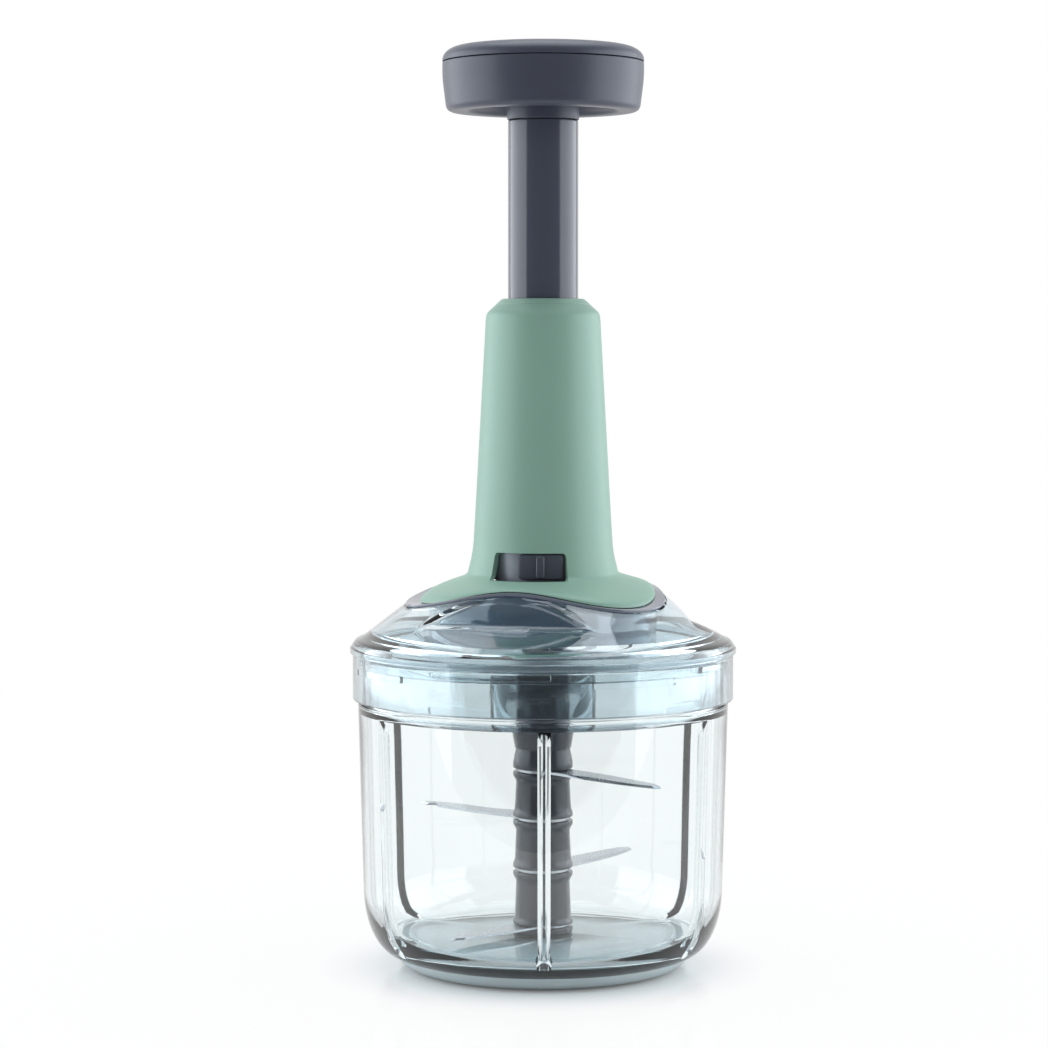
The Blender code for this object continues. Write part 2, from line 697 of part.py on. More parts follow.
def make_blades(frame, material):
    names = ("blade_bottom", "blade_third", "blade_second", "blade_top")
    for index, name in enumerate(names):
        mesh = blade_mesh(name, BLADE_REACHES[index], hooked=index == 2)
        turn = BLADE_AZIMUTHS[index] - HALF_TURN / 2
        place(name, mesh, material, frame, blade_level(index), turn)


def dog_parts(inner, outer, low, high, first):
    """Two driving lugs opposite each other."""
    parts = []
    for centre in (first, first + HALF_TURN):
        parts.append(arc_block(inner, outer, low, high,
                               centre - DOG_ANGLE / 2, centre + DOG_ANGLE / 2))
    return parts


def make_blade_cup(frame, material):
    neck = CUP_HEIGHT - CUP_BAND
    profile = [
        (SPACER_FOOT_RADIUS, 0.0), (SPACER_FOOT_RADIUS, CUP_COLLAR),
        (CUP_FOOT_RADIUS - CUP_STEP, CUP_FLOOR - CUP_STEP), (CUP_FOOT_RADIUS, CUP_FLOOR),
        (CUP_TOP_RADIUS - CUP_STEP, neck), (CUP_TOP_RADIUS, neck + CUP_STEP),
        (CUP_TOP_RADIUS, CUP_HEIGHT), (CUP_BORE_RADIUS, CUP_HEIGHT),
        (CUP_BORE_RADIUS, CUP_FLOOR + CUP_COLLAR), (CORE_HOLE, CUP_FLOOR + CUP_COLLAR),
        (CORE_HOLE, 0.0),
    ]
    cup = place("blade_cup", turned("blade_cup", profile), material, frame, CUP_Z)
    low = CUP_FLOOR + CUP_COLLAR / 2
    high = CUP_FLOOR + CUP_COLLAR + DOG_ENGAGEMENT
    dogs = dog_parts(CORE_HOLE + CLEARANCE, CUP_BORE_RADIUS + CLEARANCE, low, high,
                     LID_AZIMUTH + HALF_TURN / 2)
    combine(cup, merged("blade_cup_dogs", dogs), "UNION")


# Lid

def scoop_azimuth(azimuth):
    """Azimuth from the nearest scoop's middle."""
    pitch = FULL_TURN / SCOOP_COUNT
    return (azimuth + pitch / 2) % pitch - pitch / 2


def wave_height(azimuth):
    """Top of the grey ring."""
    return WAVE_MID_Z + WAVE_RISE * math.cos(SCOOP_COUNT * azimuth)


def ring_edge(azimuth):
    return RING_MID_RADIUS - RING_WAVE * math.cos(SCOOP_COUNT * azimuth)


def seat_height(azimuth):
    """Top of the lid under the grey ring."""
    return wave_height(azimuth) - RING_THICKNESS - CLEARANCE


def scoop_height(radius, azimuth):
    """The scoop's surface: its wall inside the crease, its floor outside it."""
    inward = CREASE_DISTANCE - radius * math.cos(scoop_azimuth(azimuth))
    return CREASE_Z + max(inward * SCOOP_WALL_SLOPE_SHARE, inward * SCOOP_FLOOR_SLOPE_SHARE)


def lid_top(radius, azimuth):
    """Top of the lid: the cone, cut by the floor and the wall of the nearest scoop."""
    if radius <= ring_edge(azimuth) + CLEARANCE:
        return seat_height(azimuth)
    return min(cone_height(radius), scoop_height(radius, azimuth))


def scoop_end(inside, outside, azimuth):
    """Radius between one in the scoop and one beyond its edge, where the edge lies."""
    for _ in range(HALVINGS):
        middle = (inside + outside) / 2
        if cone_height(middle) > scoop_height(middle, azimuth):
            inside = middle
        else:
            outside = middle
    return inside


def scoop_lines(azimuth):
    """Radii of the scoop's upper edge, its crease and its lower edge at an azimuth."""
    tip = CONE_FOOT_RADIUS - (CREASE_Z - CONE_FOOT_Z) / CONE_SLOPE_SHARE
    tip = min(tip, CONE_FOOT_RADIUS - MESH_LINE_GAP * 3)
    crease = min(CREASE_DISTANCE / math.cos(scoop_azimuth(azimuth)), tip)
    upper = crease
    lower = crease
    if crease < tip:
        upper = scoop_end(crease, ring_edge(azimuth), azimuth)
        lower = scoop_end(crease, CONE_FOOT_RADIUS, azimuth)
    upper = max(min(upper, crease - MESH_LINE_GAP), ring_edge(azimuth) + MESH_LINE_GAP * 2)
    lower = min(max(lower, crease + MESH_LINE_GAP), CONE_FOOT_RADIUS - MESH_LINE_GAP)
    return upper, crease, lower


def lid_top_line(number):
    """Section of the lid's top: 0 to 2 are the upper edge, the crease and the lower edge."""
    def section(azimuth):
        radius = scoop_lines(azimuth)[number]
        return radius, lid_top(radius, azimuth)
    return section


def lid_under_line(number):
    """Section of the lid's underside below a line of its top."""
    def section(azimuth):
        lines = scoop_lines(azimuth)
        limit = COLLAR_BORE - MESH_LINE_GAP * (3 - number)
        radius = min(max(lines[number], WELL_OUTER + MESH_LINE_GAP * (number + 1)), limit)
        return radius, lid_top(radius, azimuth) - LID_WALL
    return section


def lid_at(radius, drop=0.0):
    return lambda azimuth: (radius, lid_top(radius, azimuth) - drop)


def fixed(radius, height):
    return lambda azimuth: (radius, height)


def lid_sections():
    edges = [LID_RADIUS - EDGE_ROUND_WIDTH * share for share in EDGE_RING_SHARES]
    top = [
        lambda azimuth: (WELL_RADIUS, seat_height(azimuth)),
        lambda azimuth: (ring_edge(azimuth) + CLEARANCE, seat_height(azimuth)),
        lambda azimuth: (ring_edge(azimuth) + 2 * CLEARANCE,
                         lid_top(ring_edge(azimuth) + 2 * CLEARANCE, azimuth)),
        lid_top_line(0), lid_top_line(1), lid_top_line(2),
        lid_at(CONE_FOOT_RADIUS), *[lid_at(radius) for radius in edges],
        fixed(LID_RADIUS, EDGE_Z),
        fixed(LID_RADIUS, EDGE_Z - RIM_BAND), fixed(SKIRT_RADIUS, EDGE_Z - RIM_BAND),
        fixed(SKIRT_RADIUS, SKIRT_Z),
    ]
    under = [
        fixed(SKIRT_BORE, SKIRT_Z), fixed(SKIRT_BORE, ROOF_Z), fixed(COLLAR_RADIUS, ROOF_Z),
        fixed(COLLAR_RADIUS, RIM_Z - COLLAR_DEPTH), fixed(COLLAR_BORE, RIM_Z - COLLAR_DEPTH),
        lid_at(COLLAR_BORE, LID_WALL),
        lid_under_line(2), lid_under_line(1), lid_under_line(0), lid_at(WELL_OUTER, LID_WALL),
    ]
    hub_foot = WELL_UNDER_Z - HUB_DEPTH
    hub_bore = HUB_RADIUS - HUB_WALL
    well = [
        fixed(WELL_OUTER, WELL_UNDER_Z), fixed(HUB_RADIUS, WELL_UNDER_Z),
        fixed(HUB_RADIUS, hub_foot), fixed(hub_bore, hub_foot), fixed(hub_bore, WELL_UNDER_Z),
        fixed(JOURNAL_BORE, WELL_UNDER_Z), fixed(JOURNAL_BORE, WELL_Z), fixed(WELL_RADIUS, WELL_Z),
    ]
    return top + under + well


def lid_tabs():
    """Bayonet tabs inside the skirt, between the bowl's lugs when the lid is put on."""
    high = RIM_Z - LUG_BELOW_RIM - LUG_HEIGHT - CLEARANCE
    parts = []
    for index in range(LUG_COUNT):
        centre = LUG_AZIMUTH - LID_AZIMUTH + FULL_TURN * (index + 0.5) / LUG_COUNT
        parts.append(arc_block(NECK_RADIUS + CLEARANCE, SKIRT_BORE + SKIRT_WALL / 2,
                               high - TAB_HEIGHT, high,
                               centre - TAB_ANGLE / 2, centre + TAB_ANGLE / 2))
    return parts


def post_centres():
    """Places of the handle's screw posts, which stay clear of the lock's plate."""
    radius = HANDLE_FOOT_RADIUS - SHELL_WALL + POST_BITE - POST_RADIUS
    places = []
    for index in range(POST_COUNT):
        azimuth = SLOT_TURN + FULL_TURN * (index + 0.5) / POST_COUNT
        places.append(polar(radius, azimuth, 0.0))
    return places


def screw_holes(low, high):
    hole = SCREW_RADIUS + CLEARANCE
    parts = [cylinder_part(hole, low, high, centre) for centre in post_centres()]
    return merged("screw_holes", parts)


def make_lid(frame, material):
    lid = place("lid", loft("lid", lid_sections(), BROAD_FACETS), material, frame)
    combine(lid, merged("lid_tabs", lid_tabs()), "UNION")
    combine(lid, screw_holes(WELL_UNDER_Z - CUT_OVERRUN, WELL_Z + CUT_OVERRUN), "DIFFERENCE")


def make_seal(frame, material):
    outer = min(NECK_RADIUS, SKIRT_BORE) - CLEARANCE
    inner = max(outer - SEAL_WIDTH, COLLAR_RADIUS + CLEARANCE)
    profile = ring_profile(inner, outer, 0.0, SEAL_HEIGHT)
    place("lid_seal", turned("lid_seal", profile, TUBE_FACETS), material, frame, SEAL_Z)


# Handle

def make_handle_base(frame, material):
    sections = [
        fixed(CUP_RADIUS, BASE_Z),
        lambda azimuth: (CUP_RADIUS, wave_height(azimuth) - RING_THICKNESS),
        lambda azimuth: (ring_edge(azimuth), wave_height(azimuth) - RING_THICKNESS),
        lambda azimuth: (ring_edge(azimuth), wave_height(azimuth)),
        lambda azimuth: (CUP_BORE, wave_height(azimuth)),
        fixed(CUP_BORE, BASE_TOP_Z), fixed(COLUMN_RADIUS, BASE_TOP_Z),
        fixed(COLUMN_RADIUS, COLUMN_TOP_Z), fixed(COLUMN_BORE, COLUMN_TOP_Z),
        fixed(COLUMN_BORE, BASE_TOP_Z), fixed(BASE_HOLE_RADIUS, BASE_TOP_Z),
        fixed(BASE_HOLE_RADIUS, BASE_Z),
    ]
    base = place("handle_base", loft("handle_base", sections, BROAD_FACETS), material, frame)
    combine(base, screw_holes(BASE_Z - CUT_OVERRUN, BASE_TOP_Z + CUT_OVERRUN), "DIFFERENCE")


def shell_edge(azimuth):
    """Radius of the green shell's lower edge on the grey ring."""
    inset = EDGE_INSET - EDGE_INSET_WAVE * math.cos(SCOOP_COUNT * azimuth)
    return ring_edge(azimuth) - inset


def flare(step, wall=0.0):
    """Section of the green flare, from the wavy edge at step 0 up to the handle's foot."""
    share = 1 - step / FLARE_STEPS
    ease = share * share * (3 - 2 * share)

    def section(azimuth):
        edge = wave_height(azimuth) + CLEARANCE
        radius = HANDLE_FOOT_RADIUS + (shell_edge(azimuth) - HANDLE_FOOT_RADIUS) * ease
        return radius - wall, HANDLE_Z + (edge - HANDLE_Z) * share
    return section


def shell_rings():
    """Radius and height of the handle's outer rings above the flare."""
    radii = (HANDLE_NECK_RADIUS, HANDLE_WAIST_RADIUS, HANDLE_MIDDLE_RADIUS)
    rings = [(radius, HANDLE_Z + HANDLE_HEIGHT * share)
             for radius, share in zip(radii, HANDLE_RING_SHARES)]
    return rings


def make_handle_shell(frame, material):
    bush_bore = TUBE_RADIUS + RUNNING_GAP + BUSH_WALL + CLEARANCE
    seat_z = HANDLE_TOP_Z - BUSH_SEAT_HEIGHT
    lip_bore = HANDLE_TOP_RADIUS - HANDLE_BEVEL_WIDTH
    lip_z = HANDLE_TOP_Z - BUSH_LIP
    outer = [flare(step) for step in range(FLARE_STEPS + 1)]
    outer += [fixed(*ring) for ring in shell_rings()]
    outer += [fixed(HANDLE_TOP_RADIUS - HANDLE_BEVEL_WIDTH * across,
                    HANDLE_TOP_Z - HANDLE_BEVEL_HEIGHT * down)
              for across, down in HANDLE_BEVEL_SHARES]
    inner = [fixed(lip_bore, lip_z), fixed(bush_bore, lip_z), fixed(bush_bore, seat_z),
             fixed(HANDLE_TOP_RADIUS - SHELL_WALL + CLEARANCE, seat_z)]
    inner += [fixed(radius - SHELL_WALL, height) for radius, height in reversed(shell_rings())]
    inner += [flare(step, SHELL_WALL) for step in reversed(range(0, FLARE_STEPS + 1, 2))]
    mesh = loft("handle_shell", outer + inner, BROAD_FACETS)
    shell = place("handle_shell", mesh, material, frame)
    low = BASE_TOP_Z + CLEARANCE
    high = HANDLE_Z + POST_TOP_ABOVE_FOOT
    posts = [cylinder_part(POST_RADIUS, low, high, centre) for centre in post_centres()]
    combine(shell, merged("handle_posts", posts), "UNION")
    hole_top = WELL_UNDER_Z + SCREW_BITE + 2 * WELL_FLOOR + CUT_OVERRUN
    combine(shell, screw_holes(low - CUT_OVERRUN, hole_top), "DIFFERENCE")
    half = SLOT_HEIGHT / 2
    slot = block_mesh("handle_slot", lock_plate_radius(), ring_edge(HALF_TURN), SLOT_Z - half,
                      SLOT_Z + half, SLOT_TURN - SLOT_ANGLE / 2, SLOT_TURN + SLOT_ANGLE / 2)
    combine(shell, slot, "DIFFERENCE")


def make_handle_screws(frame, material):
    """Three screws from under the lid's well, through the grey base, into the posts."""
    length = SCREW_BITE + 2 * WELL_FLOOR
    profile = [
        (0.0, -SCREW_HEAD_HEIGHT), (SCREW_HEAD_RADIUS, -SCREW_HEAD_HEIGHT),
        (SCREW_HEAD_RADIUS, 0.0), (SCREW_RADIUS, 0.0), (SCREW_RADIUS, length),
        (0.0, length),
    ]
    for index, centre in enumerate(post_centres(), start=1):
        name = f"handle_screw_{index}"
        screw = place(name, turned(name, profile, SCREW_FACETS), material, frame)
        screw.location = (centre[0], centre[1], WELL_UNDER_Z - CLEARANCE)


def cylinder_profile(radius, low, high):
    return [(0.0, low), (radius, low), (radius, high), (0.0, high)]


def make_guide_bush(frame, material):
    inner = TUBE_RADIUS + RUNNING_GAP
    outer = inner + BUSH_WALL
    seat = HANDLE_TOP_Z - BUSH_SEAT_HEIGHT - CLEARANCE
    low = seat - BUSH_FLANGE_HEIGHT
    high = HANDLE_TOP_Z - BUSH_LIP - CLEARANCE
    profile = [
        (outer + BUSH_FLANGE, low), (outer + BUSH_FLANGE, seat), (outer, seat),
        (outer, high), (inner, high), (inner, low),
    ]
    place("guide_bush", turned("guide_bush", profile, TUBE_FACETS), material, frame)


# Lock

def lock_plate_radius():
    """Outer radius of the lock's curved plate, just inside the shell at its upper edge."""
    share = (SLOT_ABOVE_FOOT + SLOT_HEIGHT / 2 + PLATE_OVERLAP) / HANDLE_HEIGHT
    span = HANDLE_RING_SHARES[1] - HANDLE_RING_SHARES[0]
    blend = min(1, (share - HANDLE_RING_SHARES[0]) / span)
    radius = HANDLE_NECK_RADIUS + (HANDLE_WAIST_RADIUS - HANDLE_NECK_RADIUS) * blend
    return radius - SHELL_WALL - PLATE_GAP


def make_lock_slider(frame, material):
    half = SLOT_HEIGHT / 2
    middle = LOCK_TURN / 2
    plate = lock_plate_radius()
    ring = TUBE_RADIUS + RUNNING_GAP + CLEARANCE
    ring_outer = ring + LOCK_RING_WALL
    cover = SLOT_ANGLE / 2 + PLATE_COVER
    low = -LOCK_RING_HEIGHT / 2
    profile = ring_profile(ring, ring_outer, low, -low)
    mesh = turned("lock_slider", profile, TUBE_FACETS)
    slider = place("lock_slider", mesh, material, frame, SLOT_Z)
    bite = LOCK_RING_WALL / 3
    blocks = (
        (ring_outer - bite, plate - PLATE_THICKNESS / 2, low, -low,
         middle - LOCK_NECK_ANGLE / 2, middle + LOCK_NECK_ANGLE / 2),
        (plate - PLATE_THICKNESS, plate, -half - PLATE_OVERLAP, half + PLATE_OVERLAP,
         -cover, cover + LOCK_TURN),
        (plate - PLATE_THICKNESS / 2, BUTTON_RADIUS, BUTTON_PLAY - half, half - BUTTON_PLAY,
         middle - BUTTON_ANGLE / 2, middle + BUTTON_ANGLE / 2),
        (BUTTON_RADIUS - RIDGE_PROUD, BUTTON_RADIUS + RIDGE_PROUD, 2 * BUTTON_PLAY - half,
         half - 2 * BUTTON_PLAY, middle - RIDGE_ANGLE / 2, middle + RIDGE_ANGLE / 2),
        (TUBE_RADIUS - GROOVE_DEPTH + CLEARANCE, ring + bite, low, -low,
         HALF_TURN - LUG_WIDTH_ANGLE / 2, HALF_TURN + LUG_WIDTH_ANGLE / 2),
    )
    for block in blocks:
        combine(slider, block_mesh("lock_block", *block), "UNION")


# Plunger

def make_plunger_tube(frame, material):
    profile = ring_profile(TUBE_BORE, TUBE_RADIUS, TUBE_Z, TUBE_TOP_Z)
    tube = place("plunger_tube", turned("plunger_tube", profile, TUBE_FACETS), material, frame)
    half = LUG_WIDTH_ANGLE / 2 + GROOVE_PLAY_ANGLE
    floor = TUBE_RADIUS - GROOVE_DEPTH
    outer = TUBE_RADIUS + CUT_OVERRUN
    low = LOCK_RING_Z + PUSH_TRAVEL - GROOVE_PLAY
    high = LOCK_RING_Z + LOCK_RING_HEIGHT + PUSH_TRAVEL + GROOVE_PLAY
    centre = HALF_TURN + SLOT_TURN
    groove = block_mesh("tube_groove", floor, outer, TUBE_Z - CUT_OVERRUN, high,
                        centre - half, centre + half)
    notch = block_mesh("tube_notch", floor, outer, low, high,
                       centre - half - LOCK_TURN, centre)
    combine(tube, groove, "DIFFERENCE")
    combine(tube, notch, "DIFFERENCE")


def strip_angle(height):
    return FULL_TURN * (height - STRIP_Z) / STRIP_LEAD


def twisted_strip(name, half_width, half_thickness, low, high):
    """A flat bar twisted about the axis, a right hand screw with a long lead."""
    steps = max(1, round((high - low) / STRIP_LEAD * STRIP_STEPS_PER_TURN))
    vertices = []
    for step in range(steps + 1):
        height = low + (high - low) * step / steps
        turn = Matrix.Rotation(strip_angle(height), 2)
        for x, y in ((1, 1), (-1, 1), (-1, -1), (1, -1)):
            corner = turn @ Vector((x * half_width, y * half_thickness))
            vertices.append((corner.x, corner.y, height))
    faces = [[0, 1, 2, 3], [4 * steps + corner for corner in range(4)]]
    for step in range(steps):
        for corner in range(4):
            after = (corner + 1) % 4
            row = 4 * step
            faces.append([row + corner, row + after, row + 4 + after, row + 4 + corner])
    return mesh_from(name, vertices, faces)


def make_drive_nut(frame, material):
    profile = cylinder_profile(TUBE_BORE - CLEARANCE, TUBE_Z, TUBE_Z + NUT_HEIGHT)
    nut = place("drive_nut", turned("drive_nut", profile), material, frame)
    slot = twisted_strip("nut_slot", STRIP_HALF_WIDTH + NUT_PLAY, STRIP_HALF_THICKNESS + NUT_PLAY,
                         TUBE_Z - CUT_OVERRUN, TUBE_Z + NUT_HEIGHT + CUT_OVERRUN)
    combine(nut, slot, "DIFFERENCE")


def make_tube_plug(frame, material):
    hole = SCREW_RADIUS + CLEARANCE
    outer = TUBE_BORE - CLEARANCE
    floor = PLUG_HEIGHT - KNOB_SCREW_LENGTH
    profile = [
        (0.0, 0.0), (outer, 0.0), (outer, PLUG_HEIGHT), (hole, PLUG_HEIGHT),
        (hole, floor), (0.0, floor),
    ]
    place("tube_plug", turned("tube_plug", profile), material, frame, PLUG_Z)


def knob_floor_z():
    """Underside of the knob's floor, just over the tube's plug."""
    return PLUG_Z + PLUG_HEIGHT + CLEARANCE


def make_knob_body(frame, material):
    hole = SCREW_RADIUS + CLEARANCE
    low = TUBE_TOP_Z + CLEARANCE
    foot = KNOB_FOOT_Z
    floor = knob_floor_z()
    top = foot + KNOB_SIDE_HEIGHT
    side = KNOB_FOOT_RADIUS - KNOB_RECESS_RADIUS
    profile = [
        (KNOB_COLLAR_RADIUS, low), (KNOB_COLLAR_RADIUS, foot + KNOB_RECESS_DEPTH),
        (KNOB_RECESS_RADIUS, foot + KNOB_RECESS_DEPTH), (KNOB_RECESS_RADIUS, foot + KNOB_EDGE),
        (KNOB_RECESS_RADIUS + KNOB_EDGE, foot), (KNOB_FOOT_RADIUS - KNOB_EDGE, foot),
        (KNOB_FOOT_RADIUS, foot + KNOB_EDGE), (KNOB_RADIUS, top - side / 2), (KNOB_RADIUS, top),
        (KNOB_RADIUS - KNOB_WALL, top), (KNOB_RADIUS - KNOB_WALL, floor + KNOB_FLOOR),
        (hole, floor + KNOB_FLOOR), (hole, floor), (TUBE_BORE, floor), (TUBE_BORE, low),
    ]
    place("knob_body", turned("knob_body", profile, TUBE_FACETS), material, frame)


def make_knob_cap(frame, material):
    spigot = KNOB_RADIUS - KNOB_WALL - CLEARANCE
    inner = spigot - CAP_SPIGOT_WALL
    edge = (KNOB_RADIUS - CAP_EDGE_WIDTH, CAP_HEIGHT - CAP_DOME - CAP_EDGE_HEIGHT)
    reach = (CAP_EDGE_WIDTH, CAP_EDGE_HEIGHT)
    inside = CAP_HEIGHT - CAP_DOME - CAP_WALL
    profile = [(0.0, inside), (inner, inside), (inner, -CAP_SPIGOT_DEPTH),
               (spigot, -CAP_SPIGOT_DEPTH), (spigot, 0.0), (KNOB_RADIUS, 0.0)]
    profile += round_arc(edge, reach, 0.0, HALF_TURN / 2, CAP_EDGE_STEPS)
    profile += [(KNOB_RADIUS / 2, CAP_HEIGHT - CAP_DOME / 3), (0.0, CAP_HEIGHT)]
    height = KNOB_FOOT_Z + KNOB_SIDE_HEIGHT + CLEARANCE
    place("knob_cap", turned("knob_cap", profile, TUBE_FACETS), material, frame, height)


def make_knob_screw(frame, material):
    seat = knob_floor_z() + KNOB_FLOOR + CLEARANCE
    foot = PLUG_Z + PLUG_HEIGHT - KNOB_SCREW_LENGTH + CLEARANCE
    profile = [
        (0.0, foot), (SCREW_RADIUS, foot), (SCREW_RADIUS, seat), (2 * SCREW_RADIUS, seat),
        (2 * SCREW_RADIUS, seat + SCREW_HEAD_HEIGHT), (0.0, seat + SCREW_HEAD_HEIGHT),
    ]
    place("knob_screw", turned("knob_screw", profile, SCREW_FACETS), material, frame)


# Drive

def make_coupling(frame, material):
    """Coupling from its dogs up to the spigot that the strip's hub sits on."""
    flange = SHOULDER_Z - COUPLING_FLANGE_DROP
    lip = COUPLING_Z
    profile = [
        (0.0, lip), (COUPLING_LIP_RADIUS, lip), (COUPLING_LIP_RADIUS, lip + COUPLING_LIP_HEIGHT),
        (COUPLING_RADIUS, lip + COUPLING_LIP_HEIGHT), (COUPLING_RADIUS, flange),
        (COUPLING_FLANGE_RADIUS, flange), (COUPLING_FLANGE_RADIUS, flange + COUPLING_FLANGE_HEIGHT),
        (COUPLING_RADIUS, flange + COUPLING_FLANGE_HEIGHT), (COUPLING_RADIUS, SHOULDER_Z),
        (JOURNAL_RADIUS, SHOULDER_Z), (JOURNAL_RADIUS, JOURNAL_TOP_Z),
        (SPIGOT_RADIUS, JOURNAL_TOP_Z), (SPIGOT_RADIUS, STRIP_HUB_Z - CLEARANCE),
        (0.0, STRIP_HUB_Z - CLEARANCE),
    ]
    coupling = place("drive_coupling", turned("drive_coupling", profile), material, frame)
    tip = CUP_Z + CUP_FLOOR + CUP_COLLAR + CLEARANCE
    dogs = dog_parts(DOG_INNER_RADIUS, CUP_BORE_RADIUS - 2 * CLEARANCE, tip,
                     COUPLING_Z + COUPLING_LIP_HEIGHT / 2, 0.0)
    combine(coupling, merged("coupling_dogs", dogs), "UNION")


def make_washers(frame, lid_frame, plastic, steel):
    bore = JOURNAL_RADIUS + CLEARANCE
    low = SHOULDER_Z + CLEARANCE
    profile = ring_profile(bore, WASHER_RADIUS, low, low + WASHER_HEIGHT)
    place("thrust_washer", turned("thrust_washer", profile), plastic, lid_frame)
    bore = SPIGOT_RADIUS + CLEARANCE
    profile = ring_profile(bore, WASHER_RADIUS, WASHER_Z, WASHER_Z + WASHER_HEIGHT)
    place("retaining_washer", turned("retaining_washer", profile), steel, frame)


def make_strip_hub(frame, material):
    socket = STRIP_HALF_WIDTH + 2 * CLEARANCE
    floor = STRIP_HUB_HEIGHT - STRIP_SOCKET_DEPTH
    profile = [
        (0.0, 0.0), (STRIP_HUB_RADIUS, 0.0), (STRIP_HUB_RADIUS, STRIP_HUB_HEIGHT),
        (socket, STRIP_HUB_HEIGHT), (socket, floor), (0.0, floor),
    ]
    place("clutch_hub", turned("clutch_hub", profile), material, frame, STRIP_HUB_Z)


def make_strip(frame, material):
    mesh = twisted_strip("spiral_shaft", STRIP_HALF_WIDTH, STRIP_HALF_THICKNESS,
                         STRIP_Z, STRIP_TOP_Z)
    place("spiral_shaft", mesh, material, frame)


def make_strip_cap(frame, material):
    socket = STRIP_HALF_WIDTH + 2 * CLEARANCE
    top = STRIP_CAP_HEIGHT
    nose = top + STRIP_CAP_NOSE_HEIGHT
    profile = [
        (0.0, STRIP_SOCKET_DEPTH), (socket, STRIP_SOCKET_DEPTH), (socket, 0.0),
        (STRIP_CAP_RADIUS, 0.0), (STRIP_CAP_RADIUS, top), (STRIP_CAP_NOSE_RADIUS, top),
        (STRIP_CAP_NOSE_RADIUS, nose), (0.0, nose),
    ]
    place("spring_seat", turned("spring_seat", profile), material, frame, STRIP_CAP_Z)


def make_stop_ring(frame, material):
    outer = COLUMN_BORE - CLEARANCE
    low = BASE_TOP_Z + CLEARANCE
    profile = ring_profile(outer - STOP_RING_WALL, outer, low, low + STOP_RING_HEIGHT)
    place("stop_ring", turned("stop_ring", profile), material, frame)


def spring_points():
    """Centre line of the return spring, from its seat up to the tube's plug."""
    low = SPRING_Z + SPRING_WIRE_RADIUS
    high = PLUG_Z - CLEARANCE - SPRING_WIRE_RADIUS
    count = SPRING_CURLS * SPRING_POINTS_PER_CURL
    points = []
    for index in range(count + 1):
        angle = FULL_TURN * index / SPRING_POINTS_PER_CURL
        height = low + (high - low) * index / count
        points.append(polar(SPRING_RADIUS, angle, height))
    return points


def spring_gap(points):
    """Least gap between one curl of the spring and the next."""
    gaps = []
    for index in range(len(points) - SPRING_POINTS_PER_CURL):
        gaps.append(math.dist(points[index], points[index + SPRING_POINTS_PER_CURL]))
    return min(gaps) - 2 * SPRING_WIRE_RADIUS


def make_spring(frame, material):
    points = spring_points()
    curve = bpy.data.curves.new("return_spring", "CURVE")
    curve.dimensions = "3D"
    curve.bevel_depth = SPRING_WIRE_RADIUS
    curve.bevel_resolution = 1
    curve.use_fill_caps = True
    spline = curve.splines.new("POLY")
    spline.points.add(len(points) - 1)
    for knot, point in zip(spline.points, points):
        knot.co = (*point, 1)
    curve.materials.append(material)
    spring = bpy.data.objects.new("return_spring", curve)
    bpy.context.scene.collection.objects.link(spring)
    spring.parent = frame
    print("least gap between the spring's curls, mm:", round(spring_gap(points) * 1000, 2))


# The whole chopper

def make_bowl_group(paint):
    bowl = make_empty("bowl_frame")
    make_pad(bowl, paint["pad"])
    make_bowl(bowl, paint["clear"])
    make_pin(bowl, paint["steel"])
    blades = make_empty("blade_frame", bowl)
    make_end_cap(blades, paint["dark"])
    make_core(blades, paint["dark"])
    for index, name in enumerate(("spacer_lower", "spacer_middle", "spacer_upper")):
        make_spacer(blades, paint["dark"], index, name)
    make_blades(blades, paint["steel"])
    make_blade_cup(blades, paint["dark"])
    return bowl


def make_lid_group(paint, bowl):
    make_seal(bowl, paint["seal"])
    lid = make_empty("lid_frame", bowl, turn=LID_AZIMUTH)
    make_lid(lid, paint["tint"])
    make_handle_base(lid, paint["grey"])
    make_handle_shell(lid, paint["green"])
    make_handle_screws(lid, paint["steel"])
    make_guide_bush(lid, paint["grey"])
    make_stop_ring(lid, paint["pad"])
    lock = make_empty("lock_frame", lid, turn=SLOT_TURN)
    make_lock_slider(lock, paint["dark"])
    return lid


def make_drive_group(paint, lid):
    drive = make_empty("drive_frame", lid)
    make_coupling(drive, paint["dark"])
    make_washers(drive, lid, paint["grey"], paint["steel"])
    make_strip_hub(drive, paint["dark"])
    make_strip(drive, paint["steel"])
    make_strip_cap(drive, paint["grey"])
    plunger = make_empty("plunger_frame", lid)
    make_plunger_tube(plunger, paint["dark"])
    make_drive_nut(plunger, paint["grey"])
    make_tube_plug(plunger, paint["grey"])
    make_knob_body(plunger, paint["grey"])
    make_knob_cap(plunger, paint["grey"])
    make_knob_screw(plunger, paint["steel"])
    make_spring(plunger, paint["steel"])


def make_paint():
    return {
        "clear": make_material("clear_bowl", (0.86, 0.90, 0.92), 0.05, alpha=0.3),
        "tint": make_material("tinted_lid", (0.60, 0.72, 0.76), 0.05, alpha=0.4),
        "pad": make_material("soft_pad", (0.45, 0.47, 0.47), 0.6),
        "seal": make_material("seal_rubber", (0.80, 0.82, 0.82), 0.5),
        "green": make_material("green_shell", (0.34, 0.50, 0.40), 0.42),
        "grey": make_material("grey_plastic", (0.13, 0.14, 0.17), 0.45),
        "dark": make_material("dark_plastic", (0.06, 0.065, 0.08), 0.3),
        "steel": make_material("blade_steel", (0.62, 0.63, 0.65), 0.25, metallic=1),
    }


def main():
    clear_scene()
    paint = make_paint()
    bowl = make_bowl_group(paint)
    lid = make_lid_group(paint, bowl)
    make_drive_group(paint, lid)
    bpy.context.view_layer.update()


main()
